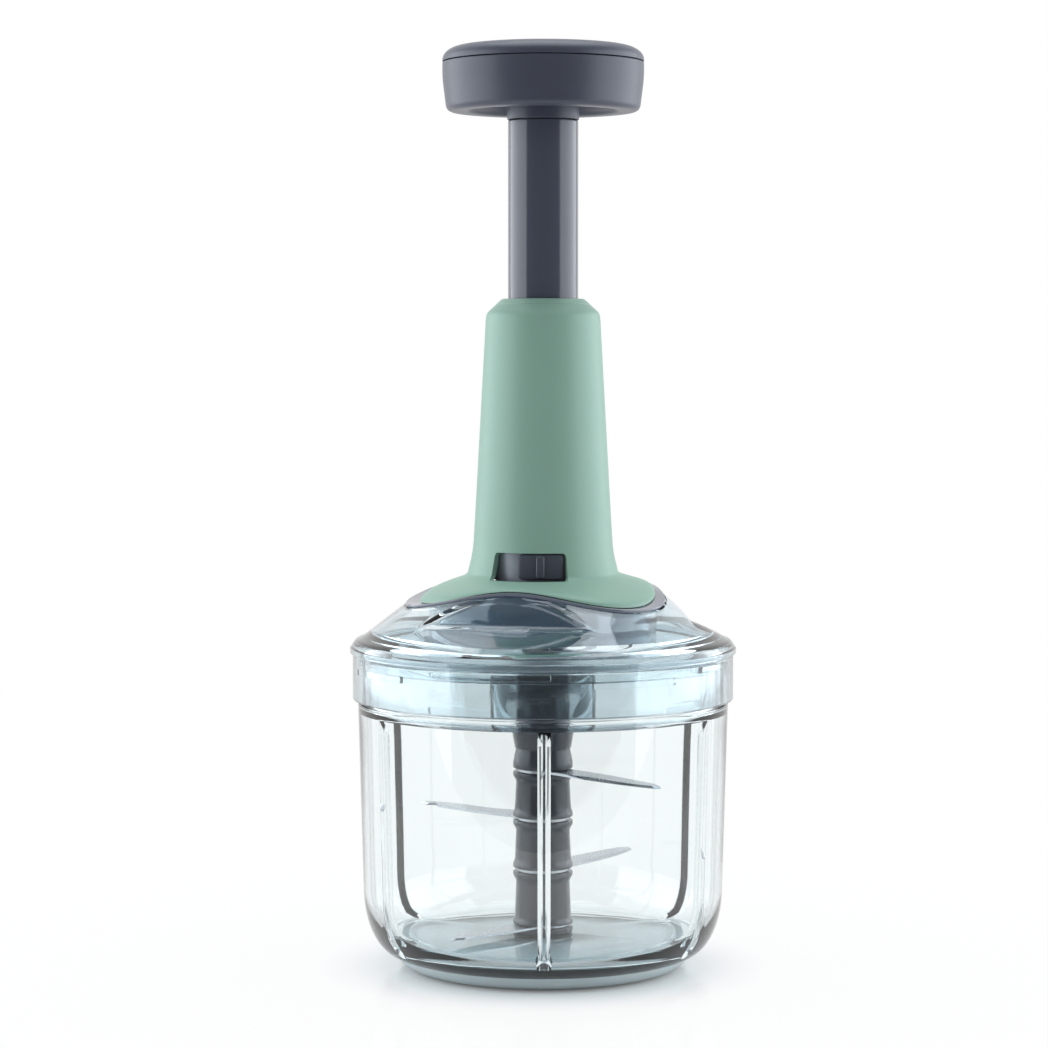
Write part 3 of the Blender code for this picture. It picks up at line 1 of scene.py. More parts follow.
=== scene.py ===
# %% [markdown]
# This lesson dresses a push chopper: a clear bowl, a clear blue lid and a green handle. A dark
# tube runs down through the handle to four steel blades. The imported model already holds each
# part at its real size and in its place, so this script makes the surfaces that the eye meets.
# It never moves a part. Lengths are metres, +Z is up, and the front looks along -Y.

# %% The frame and the boxes of its parts
import math

import bmesh
import bpy
from mathutils import Matrix, Vector


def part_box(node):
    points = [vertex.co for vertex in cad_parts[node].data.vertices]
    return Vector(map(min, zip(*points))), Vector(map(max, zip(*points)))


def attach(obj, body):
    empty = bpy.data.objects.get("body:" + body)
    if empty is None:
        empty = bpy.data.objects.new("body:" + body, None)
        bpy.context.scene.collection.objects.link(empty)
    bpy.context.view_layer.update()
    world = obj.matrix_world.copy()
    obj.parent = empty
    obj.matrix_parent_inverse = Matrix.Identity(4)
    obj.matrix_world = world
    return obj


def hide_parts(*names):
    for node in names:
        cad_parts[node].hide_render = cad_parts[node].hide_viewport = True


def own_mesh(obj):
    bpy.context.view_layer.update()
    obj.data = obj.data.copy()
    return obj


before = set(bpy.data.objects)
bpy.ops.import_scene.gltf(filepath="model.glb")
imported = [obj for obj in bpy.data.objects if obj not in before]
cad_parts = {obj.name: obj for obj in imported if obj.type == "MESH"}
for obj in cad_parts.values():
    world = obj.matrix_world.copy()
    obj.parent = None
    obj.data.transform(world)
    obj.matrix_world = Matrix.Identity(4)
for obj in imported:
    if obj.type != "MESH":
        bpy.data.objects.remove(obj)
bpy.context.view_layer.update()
MM = 0.001
FULL_TURN = math.tau
HALF_TURN = math.pi

# %% [markdown]
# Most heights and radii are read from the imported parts, so a new size in the model moves the
# looks with it. A round part's radius is the furthest that its box reaches from the axis.

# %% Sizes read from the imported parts
def low_of(node):
    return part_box(node)[0].z


def high_of(node):
    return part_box(node)[1].z


def span(node):
    """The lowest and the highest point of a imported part."""
    return low_of(node), high_of(node)


def radius_of(node):
    low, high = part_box(node)
    return max(abs(low.x), abs(low.y), high.x, high.y)


HAIR = 0.02 * MM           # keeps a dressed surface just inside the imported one
CLEARANCE = 0.3 * MM       # between pieces that touch
RUNNING_GAP = 0.35 * MM    # round the plunger
FINE, EASED, SOFT = 0.3 * MM, 0.4 * MM, 0.5 * MM    # roundings of moulded edges
BOWL_Z, RIM_Z = span("bowl")
BOWL_RADIUS = radius_of("bowl") - HAIR
LID_RADIUS = radius_of("lid") - HAIR
TUBE_RADIUS = radius_of("plunger_tube") - HAIR
TUBE_Z, TUBE_TOP_Z = span("plunger_tube")
HANDLE_TOP_Z = high_of("handle_shell")
KNOB_TOP_Z = high_of("knob_cap")
LID_AZIMUTH = math.radians(-16)
print("bowl", round(BOWL_RADIUS / MM, 1), "lid", round(LID_RADIUS / MM, 1), "tube",
      round(TUBE_RADIUS / MM, 2), "mm in radius")

# %% [markdown]
# Every mesh here is a skin over rows of points. A turned piece repeats one profile round the
# axis, and a wavy piece asks a function for its radius and height at each azimuth. Azimuth zero
# faces the front and grows towards +X. Real plastic has no knife edges, so a profile point can
# carry a rounding, which becomes a short arc.

# %% Rows of points and the skin over them
def polar(radius, azimuth, height):
    return (radius * math.sin(azimuth), -radius * math.cos(azimuth), height)


def even_azimuths(count, turn=0.0):
    return [turn + FULL_TURN * index / count for index in range(count)]


def finished(shape, name):
    """Faces outwards, and the working mesh turned into one that an object can use."""
    bmesh.ops.recalc_face_normals(shape, faces=shape.faces)
    mesh = bpy.data.meshes.new(name)
    shape.to_mesh(mesh)
    shape.free()
    return mesh


def skin(name, rows, closed=False):
    """A mesh over rows of points that run round the axis; a row of one point is a pole."""
    shape = bmesh.new()
    rings = [[shape.verts.new(point) for point in row] for row in rows]
    pairs = list(zip(rings, rings[1:]))
    if closed:
        pairs.append((rings[-1], rings[0]))
    for lower, upper in pairs:
        count = max(len(lower), len(upper))
        for index in range(count):
            after = (index + 1) % count
            corners = [lower[index % len(lower)], lower[after % len(lower)],
                       upper[after % len(upper)], upper[index % len(upper)]]
            shape.faces.new(list(dict.fromkeys(corners)))
    return finished(shape, name)


def fillet(before, corner, after, size, steps=5):
    """Points of an arc that rounds a profile's corner, no larger than its sides allow."""
    corner, towards, onwards = Vector(corner), Vector(before), Vector(after)
    back, ahead = towards - corner, onwards - corner
    size = min(size, back.length * 0.49, ahead.length * 0.49)
    start = corner + back.normalized() * size
    end = corner + ahead.normalized() * size
    points = []
    for step in range(steps + 1):
        share = step / steps
        first, second = start.lerp(corner, share), corner.lerp(end, share)
        points.append(tuple(first.lerp(second, share)))
    return points


def soft_profile(points, closed=True):
    """Rounds the points of a profile that carry a third number, the rounding's size."""
    rounded = []
    for index, point in enumerate(points):
        ends = index == 0 or index == len(points) - 1
        if len(point) < 3 or (ends and not closed):
            rounded.append(tuple(point[:2]))
            continue
        after = points[(index + 1) % len(points)]
        rounded.extend(fillet(points[index - 1][:2], point[:2], after[:2], point[2]))
    return rounded


def turned(name, points, facets=96, azimuths=None):
    """A turned mesh; a profile that starts on the axis is closed there by poles."""
    solid = points[0][0] == 0
    azimuths = azimuths or even_azimuths(facets)
    rows = []
    for radius, height in soft_profile(points, closed=not solid):
        row = [polar(radius, azimuth, height) for azimuth in azimuths]
        rows.append(row[:1] if radius == 0 else row)
    return skin(name, rows, closed=not solid)


# %% [markdown]
# A block bent round the axis serves for each lug, dog, slot and button. It is made flat, where
# its corners are easy to round. Then it is sliced across and bent: its length becomes an angle.

# %% Blocks bent round the axis
def bent_block(name, radii, heights, azimuths, corner=0.0, soft=0.0, pitch=math.radians(2)):
    """A block made flat, with rounded corners and a softened outer face, then bent round."""
    inner, outer = radii
    middle = (azimuths[0] + azimuths[1]) / 2
    half_turn = (azimuths[1] - azimuths[0]) / 2
    shape = bmesh.new()
    bmesh.ops.create_cube(shape, size=1)
    bmesh.ops.scale(shape, verts=shape.verts,
                    vec=(2 * half_turn * outer, outer - inner, heights[1] - heights[0]))
    bmesh.ops.translate(shape, verts=shape.verts,
                        vec=(0, -(inner + outer) / 2, (heights[0] + heights[1]) / 2))
    if corner:
        across = [edge for edge in shape.edges
                  if abs(edge.verts[0].co.y - edge.verts[1].co.y) > (outer - inner) / 2]
        bmesh.ops.bevel(shape, geom=across, offset=corner, segments=6, profile=0.5,
                        affect="EDGES")
    if soft:
        rim = [edge for edge in shape.edges
               if all(abs(vertex.co.y + outer) < CLEARANCE for vertex in edge.verts)]
        bmesh.ops.bevel(shape, geom=rim, offset=soft, segments=3, profile=0.5, affect="EDGES")
    cuts = max(1, math.ceil(2 * half_turn / pitch))
    for cut in range(1, cuts):
        place = outer * half_turn * (2 * cut / cuts - 1)
        bmesh.ops.bisect_plane(shape, geom=list(shape.verts) + list(shape.edges)
                               + list(shape.faces), plane_co=(place, 0, 0),
                               plane_no=(1, 0, 0), dist=HAIR / 100)
    for vertex in shape.verts:
        across, radius = vertex.co.x, -vertex.co.y
        vertex.co = polar(radius, middle + across / outer, vertex.co.z)
    return finished(shape, name)

# %% [markdown]
# One small helper adds a node with its settings and its links, and another links or sets inputs
# of a node that is already there. A third turns the hex colours that an eye can judge into the
# linear numbers that a shader works in.

# %% Colours and nodes
def linear(hex_colour, alpha=1.0):
    """An sRGB hex colour as linear red, green, blue and alpha."""
    values = [int(hex_colour[index:index + 2], 16) / 255 for index in (1, 3, 5)]
    bent = [v / 12.92 if v <= 0.04045 else ((v + 0.055) / 1.055) ** 2.4 for v in values]
    return (*bent, alpha)


def feed(tree, node, inputs):
    """Link or set inputs of a node; a node among the values stands for its first output."""
    for name, value in inputs.items():
        if isinstance(value, bpy.types.Node):
            value = value.outputs[0]
        if isinstance(value, bpy.types.NodeSocket):
            tree.links.new(value, node.inputs[name])
        else:
            node.inputs[name].default_value = value
    return node


def add(tree, kind, inputs=None, **settings):
    """Add a node, set its properties, then link or set its inputs."""
    node = tree.nodes.new(kind)
    for name, value in settings.items():
        setattr(node, name, value)
    return feed(tree, node, inputs or {})


def new_material(name, **values):
    """A material with its Principled shader; values set the shader's own sockets."""
    material = bpy.data.materials.new(name)
    material.use_nodes = True
    shader = material.node_tree.nodes["Principled BSDF"]
    for socket, value in values.items():
        shader.inputs[socket.replace("_", " ")].default_value = value
    return material, material.node_tree, shader


def grain(tree, size, stretch=(1, 1, 1), **settings):
    """A noise in Object coordinates whose features are about one size in metres."""
    place = add(tree, "ShaderNodeTexCoord").outputs["Object"]
    stretched = add(tree, "ShaderNodeMapping", {"Vector": place, "Scale": stretch})
    return add(tree, "ShaderNodeTexNoise", {"Vector": stretched, "Scale": 1 / size, **settings})


# %% [markdown]
# A moulded surface varies in two ways. Over centimetres the colour drifts by a shade, and over
# tenths of a millimetre the texture of the mould scatters the light. One function makes both,
# and each plastic below differs from the others only in its numbers.

# %% One function for a moulding
NOISE_RANGE = {"From Min": 0.3, "From Max": 0.7}


def moulding(name, colours, roughness, drift, texture, depth, **values):
    """Moulded plastic or rubber: two close colours, and a texture of one size and depth."""
    material, tree, shader = new_material(name, **values)
    colour = add(tree, "ShaderNodeMix", {"Factor": grain(tree, drift, Detail=1.0),
                 6: linear(colours[0]), 7: linear(colours[1])}, data_type="RGBA")
    fine = grain(tree, texture, Detail=3.0)
    rough = add(tree, "ShaderNodeMapRange", {"Value": fine, "To Min": roughness[0],
                "To Max": roughness[1], **NOISE_RANGE})
    relief = add(tree, "ShaderNodeBump", {"Height": fine, "Distance": depth})
    feed(tree, shader, {"Base Color": colour.outputs[2], "Normal": relief, "Roughness": rough})
    return material


# %% [markdown]
# The handle and its fittings are ABS with a fine spark eroded texture: the light spreads into a
# soft sheen along their sides. Grain that is truly 0.05 mm would vanish at this distance, so it
# is drawn at 0.5 mm.

# %% Satin ABS
SATIN = {"drift": 30 * MM, "texture": 0.5 * MM, "depth": 0.012 * MM, "IOR": 1.53}
GREEN_ABS = moulding("textured_abs_green", ("#8bb1a0", "#91b6a5"), (0.36, 0.45), **SATIN)
GREY_ABS = moulding("textured_abs_grey", ("#484c5b", "#4c505f"), (0.34, 0.42), **SATIN)
SLATE_ABS = moulding("textured_abs_slate", ("#494e5a", "#4f5460"), (0.3, 0.38), **SATIN)
# A lighter grey for the lock plate: painted light on the plate, which sits in shade in its recess
# behind the slot's wall.
PLATE_ABS_PAINTED_LIGHT = moulding("smooth_abs_grey", ("#8f96a1", "#959ca7"), (0.22, 0.3), **SATIN)

# %% [markdown]
# The plunger tube and the coupling are polished ABS. A polished mould leaves no grain, only a
# slow ripple that bends the reflections a little, so the texture is 18 mm across. A thin clear
# coat stands for the hard skin that the plastic gets against a polished mould.

# %% Polished ABS
POLISHED = {"drift": 25 * MM, "texture": 18 * MM, "depth": 0.05 * MM, "IOR": 1.53,
            "Coat_Weight": 0.3, "Coat_Roughness": 0.06}
DARK_ABS = moulding("polished_abs_dark", ("#4a4e5c", "#4f5361"), (0.14, 0.2), **POLISHED)
# The grey ring is a lighter grey than the knob's grey ABS: painted sheen on its thin lip, on top
# of its real polish.
LIP_ABS_PAINTED_SHEEN = moulding("polished_abs_grey", ("#6c717e", "#727784"), (0.12, 0.2), **POLISHED)
DEEP_ABS = moulding("polished_abs_black", ("#2f323c", "#34373f"), (0.2, 0.28), **POLISHED)

# %% [markdown]
# Two soft mouldings are left: the foot pad of milky grey rubber and the seal of frosted silicone
# under the lid. Both let a little light into themselves, which is what subsurface is for.

# %% Soft mouldings
RUBBERY = {"drift": 12 * MM, "texture": 0.8 * MM, "depth": 0.02 * MM, "IOR": 1.45,
           "Subsurface_Weight": 0.2, "Subsurface_Scale": 2 * MM}
PAD_RUBBER = moulding("thermoplastic_rubber_grey", ("#c0c8c8", "#c8cfcf"), (0.5, 0.6), **RUBBERY)
SEAL_SILICONE = moulding("silicone_clear", ("#eef3f5", "#f4f8f9"), (0.25, 0.35),
                         Transmission_Weight=0.9, **RUBBERY)

# %% [markdown]
# Ground stainless steel is bright, close to neutral, and has fine lines along the grinding.
# Lines 0.05 mm apart are drawn 0.4 mm apart here, by a noise that is stretched one way. The
# spring is drawn wire, whose lines run the other way.

# %% Steel
def ground_steel(name, colour, roughness, stretch):
    material, tree, shader = new_material(name, Metallic=1.0, Base_Color=linear(colour))
    lines = grain(tree, 0.4 * MM, stretch, Detail=2.0)
    rough = add(tree, "ShaderNodeMapRange", {"Value": lines, "To Min": roughness[0],
                "To Max": roughness[1], **NOISE_RANGE})
    relief = add(tree, "ShaderNodeBump", {"Height": lines, "Distance": 0.01 * MM})
    feed(tree, shader, {"Roughness": rough, "Normal": relief})
    return material


BLADE_STEEL = ground_steel("ground_stainless_steel", "#c2c6cb", (0.24, 0.36), (1, 0.08, 1))
WIRE_STEEL = ground_steel("drawn_spring_steel", "#b9bcc0", (0.25, 0.38), (1, 1, 0.1))

# %% [markdown]
# The bowl and the lid are clear SAN, a hard plastic with an IOR near 1.57. A path tracer can't
# find a lamp through glass, so everything inside would be lit too little. The usual answer is
# used here: a ray that looks for a lamp, or one that left a dull surface, passes a thin clear
# film instead. Light that has gone a long way through the plastic turns darker and bluer, by
# absorption. Where the surface is seen at a flat angle, its colour is painted darker and bluer.
# This painted shade stands for the dark surroundings seen through the edges and for the longer
# path there, and it draws the edges.

# %% Clear mouldings
def clear_san(name, colours, edge, film, ripple, absorbed, density):
    material, tree, shader = new_material(name, Roughness=0.02, IOR=1.57,
                                          Transmission_Weight=1.0)
    broad = grain(tree, 25 * MM, Detail=1.0)
    colour = add(tree, "ShaderNodeMix", {"Factor": broad, 6: linear(colours[0]),
                 7: linear(colours[1])}, data_type="RGBA")
    relief = add(tree, "ShaderNodeBump", {"Height": broad, "Distance": ripple})
    # At flat angles the base colour turns to the edge colour. This painted shade stands for the
    # dark surroundings seen through the edges and for the longer path there.
    facing = add(tree, "ShaderNodeLayerWeight").outputs["Facing"]
    grazing_painted_shade = add(tree, "ShaderNodeMapRange", {"Value": facing, "From Min": 0.7},
                  interpolation_type="SMOOTHSTEP")
    edged_painted_shade = add(tree, "ShaderNodeMix", {"Factor": grazing_painted_shade, 6: colour.outputs[2],
                7: linear(edge)}, data_type="RGBA")
    feed(tree, shader, {"Base Color": edged_painted_shade.outputs[2], "Normal": relief})
    through = add(tree, "ShaderNodeBsdfTransparent", {"Color": linear(film)})
    ray = add(tree, "ShaderNodeLightPath").outputs
    dull = add(tree, "ShaderNodeMath", {0: ray["Is Shadow Ray"], 1: ray["Is Diffuse Ray"]},
               operation="MAXIMUM")
    mix = add(tree, "ShaderNodeMixShader", {0: dull, 1: shader, 2: through})
    inside = add(tree, "ShaderNodeVolumeAbsorption", {"Color": linear(absorbed),
                 "Density": density})
    feed(tree, tree.nodes["Material Output"], {"Surface": mix, "Volume": inside})
    return material


# The third colour of each is the painted edge shade.
BOWL_SAN = clear_san("clear_san", ("#fcfefe", "#fdffff"), "#8a99a1", "#f6fafb", 0.03 * MM,
                     "#5fc0d0", 12.0)
LID_SAN = clear_san("clear_blue_san", ("#f3f9fb", "#f5fafc"), "#7893a0", "#eaf2f6", 0.03 * MM,
                    "#4cbcd4", 26.0)
print("materials made:", len(bpy.data.materials))

# %% [markdown]
# A finished piece gets its material and rides on its body, and the imported nodes that it stands
# for are hidden.

# %% Handing a piece to the frame
def dress(name, mesh, material, body, slot, *nodes, sharp=30):
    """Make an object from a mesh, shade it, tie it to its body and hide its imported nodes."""
    mesh.materials.clear()
    mesh.materials.append(material)
    mesh.shade_smooth()
    mesh.set_sharp_from_angle(angle=math.radians(sharp))
    piece = bpy.data.objects.new(name, mesh)
    bpy.context.scene.collection.objects.link(piece)
    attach(piece, body)
    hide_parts(*nodes)
    return piece


def settle(piece):
    """The evaluated shape of a piece with modifiers, as a plain mesh."""
    graph = bpy.context.evaluated_depsgraph_get()
    mesh = bpy.data.meshes.new_from_object(piece.evaluated_get(graph))
    bpy.data.objects.remove(piece)
    return mesh


def with_cuts(mesh, *cutters, operation="DIFFERENCE"):
    """A mesh after other meshes are cut from it or joined to it."""
    base = bpy.data.objects.new("base", mesh)
    bpy.context.scene.collection.objects.link(base)
    helpers = []
    for cutter in cutters:
        helper = bpy.data.objects.new("cutter", cutter)
        bpy.context.scene.collection.objects.link(helper)
        modifier = base.modifiers.new("Cut", "BOOLEAN")
        modifier.operation = operation
        modifier.object = helper
        helpers.append(helper)
    result = settle(base)
    for helper in helpers:
        bpy.data.objects.remove(helper)
    return result


# %% [markdown]
# The foot pad is a shallow dish of soft rubber. Its curved side shows as an olive grey band under
# the bowl, its raised middle fills the hollow under the clear floor, and it stands on a ring.

# %% Foot pad and pin
PAD_RADIUS, PAD_TOP = radius_of("anti_slip_base") - HAIR, high_of("anti_slip_base")
PAD_RING_RADIUS, PAD_RECESS, PAD_CURVE = 30 * MM, 1.0 * MM, (9.0 * MM, 4.2 * MM)
HOLLOW_RADIUS, HOLLOW_DEPTH = 45.0 * MM, 2.6 * MM
PAD_RIM = PAD_TOP - HOLLOW_DEPTH
PAD_STEPS = 12
pad_angles = [FULL_TURN / 4 * step / PAD_STEPS for step in range(1, PAD_STEPS + 1)]
pad_side = [(PAD_RADIUS - PAD_CURVE[0] * (1 - math.sin(bend)), PAD_CURVE[1] * (1 - math.cos(bend)))
            for bend in pad_angles]
pad_profile = [(0, PAD_RECESS), (PAD_RING_RADIUS, PAD_RECESS, 0.6 * MM),
               (PAD_RING_RADIUS + 0.4 * MM, 0, 0.6 * MM),
               (PAD_RADIUS - PAD_CURVE[0], 0)] + pad_side
pad_profile += [(PAD_RADIUS, PAD_RIM, 0.2 * MM), (HOLLOW_RADIUS - CLEARANCE, PAD_RIM),
                (HOLLOW_RADIUS - CLEARANCE, PAD_TOP, EASED), (0, PAD_TOP)]
dress("foot_pad", turned("foot_pad", pad_profile, 144), PAD_RUBBER, "bowl", "soft_pad",
      "anti_slip_base")
PIN_LOW, PIN_HIGH = span("centre_pin")
PIN_RADIUS = radius_of("centre_pin") - HAIR
pin_profile = [(0, PIN_LOW), (PIN_RADIUS, PIN_LOW, 0.2 * MM), (PIN_RADIUS, PIN_HIGH, 1.2 * MM),
               (0, PIN_HIGH)]
dress("floor_pin", turned("floor_pin", pin_profile, 32), WIRE_STEEL, "bowl", "steel",
      "centre_pin")

# %% [markdown]
# The bowl is one turned wall: a flat floor, a wide rounded corner, sides that open out a little,
# a step in to the neck and a plain rim. Its rows run up the outside, over the rim and down the
# inside. The azimuths are close together where a rib will stand and wide apart elsewhere.

# %% The bowl's wall
BOWL_WALL, BOWL_FLOOR = 2.2 * MM, 4.8 * MM
BOWL_LOW_RADIUS, BOWL_FOOT_RADIUS = 59.7 * MM - HAIR, 48.8 * MM
CORNER_TOP = BOWL_Z + 21.4 * MM
NECK_Z = RIM_Z - 15.2 * MM
NECK_RADIUS = BOWL_RADIUS - 1.8 * MM
RIB_COUNT, RIB_RADIUS, RIB_STAND = 6, 1.9 * MM, 2.3 * MM
RIB_TOP = NECK_Z - 4.4 * MM
BOSS_RADIUS, BOSS_HEIGHT = 4.2 * MM, 0.8 * MM


def corner_points(wall, floor, steps=14):
    """The rounded corner at the bowl's foot, from its floor up to its side."""
    reach = BOWL_LOW_RADIUS - BOWL_FOOT_RADIUS - wall
    rise = CORNER_TOP - BOWL_Z - floor
    points = []
    for step in range(steps + 1):
        angle = FULL_TURN / 4 * step / steps
        points.append((BOWL_FOOT_RADIUS + reach * math.sin(angle),
                       CORNER_TOP - rise * math.cos(angle)))
    return points


def rib_azimuths():
    """Azimuths for one full turn: 0.5 degrees apart at each rib and 3 degrees elsewhere."""
    pitch = 360 / RIB_COUNT
    fine = [step * 0.5 for step in range(-6, 7)]
    wide = [6 + 3 * step for step in range(round((pitch - 12) / 3) + 1)]
    return [math.radians(index * pitch + angle) for index in range(RIB_COUNT)
            for angle in fine + wide]


def stretch_up(start, end, steps):
    """Points on a straight wall, so that ribs can press into it."""
    return [tuple(a + (b - a) * step / steps for a, b in zip(start, end))
            for step in range(1, steps)]


def bowl_mesh():
    """The plain bowl, with the share of a rib that each inner point may take."""
    roof = BOWL_Z + HOLLOW_DEPTH
    outer = [(0, roof), (HOLLOW_RADIUS, roof), (HOLLOW_RADIUS, BOWL_Z)] + corner_points(0, 0)
    outer += soft_profile([outer[-1], (BOWL_RADIUS, NECK_Z - 0.6 * MM, SOFT),
                           (BOWL_RADIUS - 0.6 * MM, NECK_Z, FINE),
                           (NECK_RADIUS, NECK_Z, EASED), (NECK_RADIUS, RIM_Z, 0.7 * MM),
                           (NECK_RADIUS - BOWL_WALL, RIM_Z, 0.7 * MM),
                           (NECK_RADIUS - BOWL_WALL, NECK_Z - 1.2 * MM)], closed=False)[1:]
    inner_top = (BOWL_RADIUS - BOWL_WALL, NECK_Z - 3.4 * MM)
    corner = list(reversed(corner_points(BOWL_WALL, BOWL_FLOOR)))
    near_top = (inner_top[0], RIB_TOP)
    wall = [inner_top] + stretch_up(near_top, corner[0], 30) + corner
    top = BOWL_Z + BOWL_FLOOR
    pin_bore = PIN_RADIUS + CLEARANCE
    boss = soft_profile([corner[-1], (BOSS_RADIUS, top, FINE),
                         (BOSS_RADIUS, top + BOSS_HEIGHT, 0.2 * MM),
                         (pin_bore, top + BOSS_HEIGHT), (pin_bore, roof + 1.0 * MM),
                         (0, roof + 1.0 * MM)], closed=False)[1:]
    rows, shares = [], []
    for number, (radius, height) in enumerate(outer + wall + boss):
        inside = len(outer) < number < len(outer) + len(wall) - 1
        row = [polar(radius, azimuth, height) for azimuth in rib_azimuths()]
        rows.append(row[:1] if radius == 0 else row)
        shares.extend([float(inside)] * len(rows[-1]))
    mesh = skin("bowl_wall", rows)
    attribute = mesh.attributes.new("rib_share", "FLOAT", "POINT")
    attribute.data.foreach_set("value", shares)
    return mesh


plain_bowl = bowl_mesh()
print("bowl:", len(plain_bowl.vertices), "points")

# %% [markdown]
# Six half round ribs stand inside the bowl, so that food can't slide round with the blades.
# They are one rule applied six times, which suits Geometry Nodes: turn a point back by the
# angle of its nearest rib, work out how far it is from the rib's middle and from its top, and
# push it along its normal by the height of a half ellipse. The wall stays one skin, so light
# bends through rib and wall as through one moulding.

# %% A Geometry Nodes tree that presses ribs into a wall
def node_tree(name, inputs):
    """An empty tree with named inputs; returns the tree and a dict of its input sockets."""
    tree = bpy.data.node_groups.new(name, "GeometryNodeTree")
    tree.interface.new_socket("Geometry", in_out="OUTPUT", socket_type="NodeSocketGeometry")
    for label, kind in inputs.items():
        tree.interface.new_socket(label, in_out="INPUT", socket_type="NodeSocket" + kind)
    source = add(tree, "NodeGroupInput")
    return tree, {socket.name: socket for socket in source.outputs if socket.name}


def close_tree(tree, geometry, material):
    """The two last steps of each tree: real copies, and their material."""
    real = add(tree, "GeometryNodeRealizeInstances", {"Geometry": geometry})
    painted = add(tree, "GeometryNodeSetMaterial", {"Geometry": real, "Material": material})
    add(tree, "NodeGroupOutput", {"Geometry": painted})


def run_tree(tree, mesh, **values):
    """Run a tree on a mesh and return the plain mesh that it makes."""
    piece = bpy.data.objects.new(tree.name, mesh)
    bpy.context.scene.collection.objects.link(piece)
    modifier = piece.modifiers.new(tree.name, "NODES")
    modifier.node_group = tree
    for socket in tree.interface.items_tree:
        label = socket.name.replace(" ", "_")
        if socket.in_out == "INPUT" and label in values:
            modifier[socket.identifier] = values[label]
    return settle(piece)


rib_tree, rib_input = node_tree("press_ribs", {
    "Geometry": "Geometry", "Pitch": "Float", "Half Pitch": "Float", "Half Width": "Float",
    "Stand": "Float", "Dome": "Float", "Material": "Material"})
point = add(rib_tree, "GeometryNodeInputPosition")
place = add(rib_tree, "ShaderNodeSeparateXYZ", {0: point}).outputs
angle = add(rib_tree, "ShaderNodeMath", {0: place["Y"], 1: place["X"]}, operation="ARCTAN2")
sixth = add(rib_tree, "ShaderNodeMath", {0: angle, 1: rib_input["Pitch"]},
            operation="SNAP")
nearest = add(rib_tree, "ShaderNodeMath", {0: sixth, 1: rib_input["Half Pitch"]})
turned_back = add(rib_tree, "ShaderNodeVectorRotate", {"Vector": point,
                  "Angle": nearest}, rotation_type="Z_AXIS", invert=True)
beside = add(rib_tree, "ShaderNodeSeparateXYZ", {0: turned_back}).outputs["Y"]
past_dome = add(rib_tree, "ShaderNodeMath", {0: place["Z"], 1: rib_input["Dome"]},
                operation="SUBTRACT")
above = add(rib_tree, "ShaderNodeMath", {0: past_dome, 1: 0.0}, operation="MAXIMUM")
apart = add(rib_tree, "ShaderNodeCombineXYZ", {"X": beside, "Y": above})
length = add(rib_tree, "ShaderNodeVectorMath", {0: apart}, operation="LENGTH")
share = add(rib_tree, "ShaderNodeMath", {0: length.outputs["Value"],
            1: rib_input["Half Width"]}, operation="DIVIDE")
square = add(rib_tree, "ShaderNodeMath", {0: share, 1: share}, operation="MULTIPLY")
left_over = add(rib_tree, "ShaderNodeMath", {0: 1.0, 1: square},
                operation="SUBTRACT", use_clamp=True)
curve = add(rib_tree, "ShaderNodeMath", {0: left_over}, operation="SQRT")
height = add(rib_tree, "ShaderNodeMath", {0: curve, 1: rib_input["Stand"]},
             operation="MULTIPLY")
allowed = add(rib_tree, "GeometryNodeInputNamedAttribute", {"Name": "rib_share"},
              data_type="FLOAT")
pressed = add(rib_tree, "ShaderNodeMath", {0: height, 1: allowed},
              operation="MULTIPLY")
push = add(rib_tree, "ShaderNodeVectorMath", {
    0: add(rib_tree, "GeometryNodeInputNormal"),
    "Scale": pressed}, operation="SCALE")
ribbed = add(rib_tree, "GeometryNodeSetPosition", {"Geometry": rib_input["Geometry"],
             "Offset": push})
close_tree(rib_tree, ribbed, rib_input["Material"])

RIB_PITCH = FULL_TURN / RIB_COUNT
ribbed_bowl = run_tree(rib_tree, plain_bowl, Pitch=RIB_PITCH, Half_Pitch=RIB_PITCH / 2,
                       Half_Width=RIB_RADIUS, Stand=RIB_STAND, Dome=RIB_TOP - RIB_RADIUS,
                       Material=BOWL_SAN)
print("ribs:", RIB_COUNT, "on a wall of", len(ribbed_bowl.polygons), "faces")

# %% [markdown]
# Four bayonet lugs stand out round the neck, where the lid's tabs catch. They are blocks bent
# round the axis and joined to the wall, so that no glass surface is left inside the plastic.

# %% Lugs on the neck
LUG_COUNT, LUG_DEPTH, LUG_HEIGHT = 4, 1.3 * MM, 2.2 * MM
LUG_ANGLE, LUG_AZIMUTH = math.radians(37), math.radians(-16.5)
LUG_TOP = RIM_Z - 0.3 * MM


def lug_block(index):
    middle = LUG_AZIMUTH + FULL_TURN * index / LUG_COUNT
    return bent_block("lug", (NECK_RADIUS - BOWL_WALL / 2, NECK_RADIUS + LUG_DEPTH),
                      (LUG_TOP - LUG_HEIGHT, LUG_TOP),
                      (middle - LUG_ANGLE / 2, middle + LUG_ANGLE / 2),
                      corner=SOFT, soft=FINE)


bowl_with_lugs = with_cuts(ribbed_bowl, *[lug_block(index) for index in range(LUG_COUNT)],
                           operation="UNION")
dress("clear_bowl", bowl_with_lugs, BOWL_SAN, "bowl", "clear_bowl", "bowl", sharp=40)

# %% [markdown]
# The blade unit is a stack on a core: an end cap, then blades and spacers in turn, then a cup.
# Each spacer is pinched in its middle and has a bead at both ends, so the stack looks like a
# stem of bamboo. All of it is turned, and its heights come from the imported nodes.

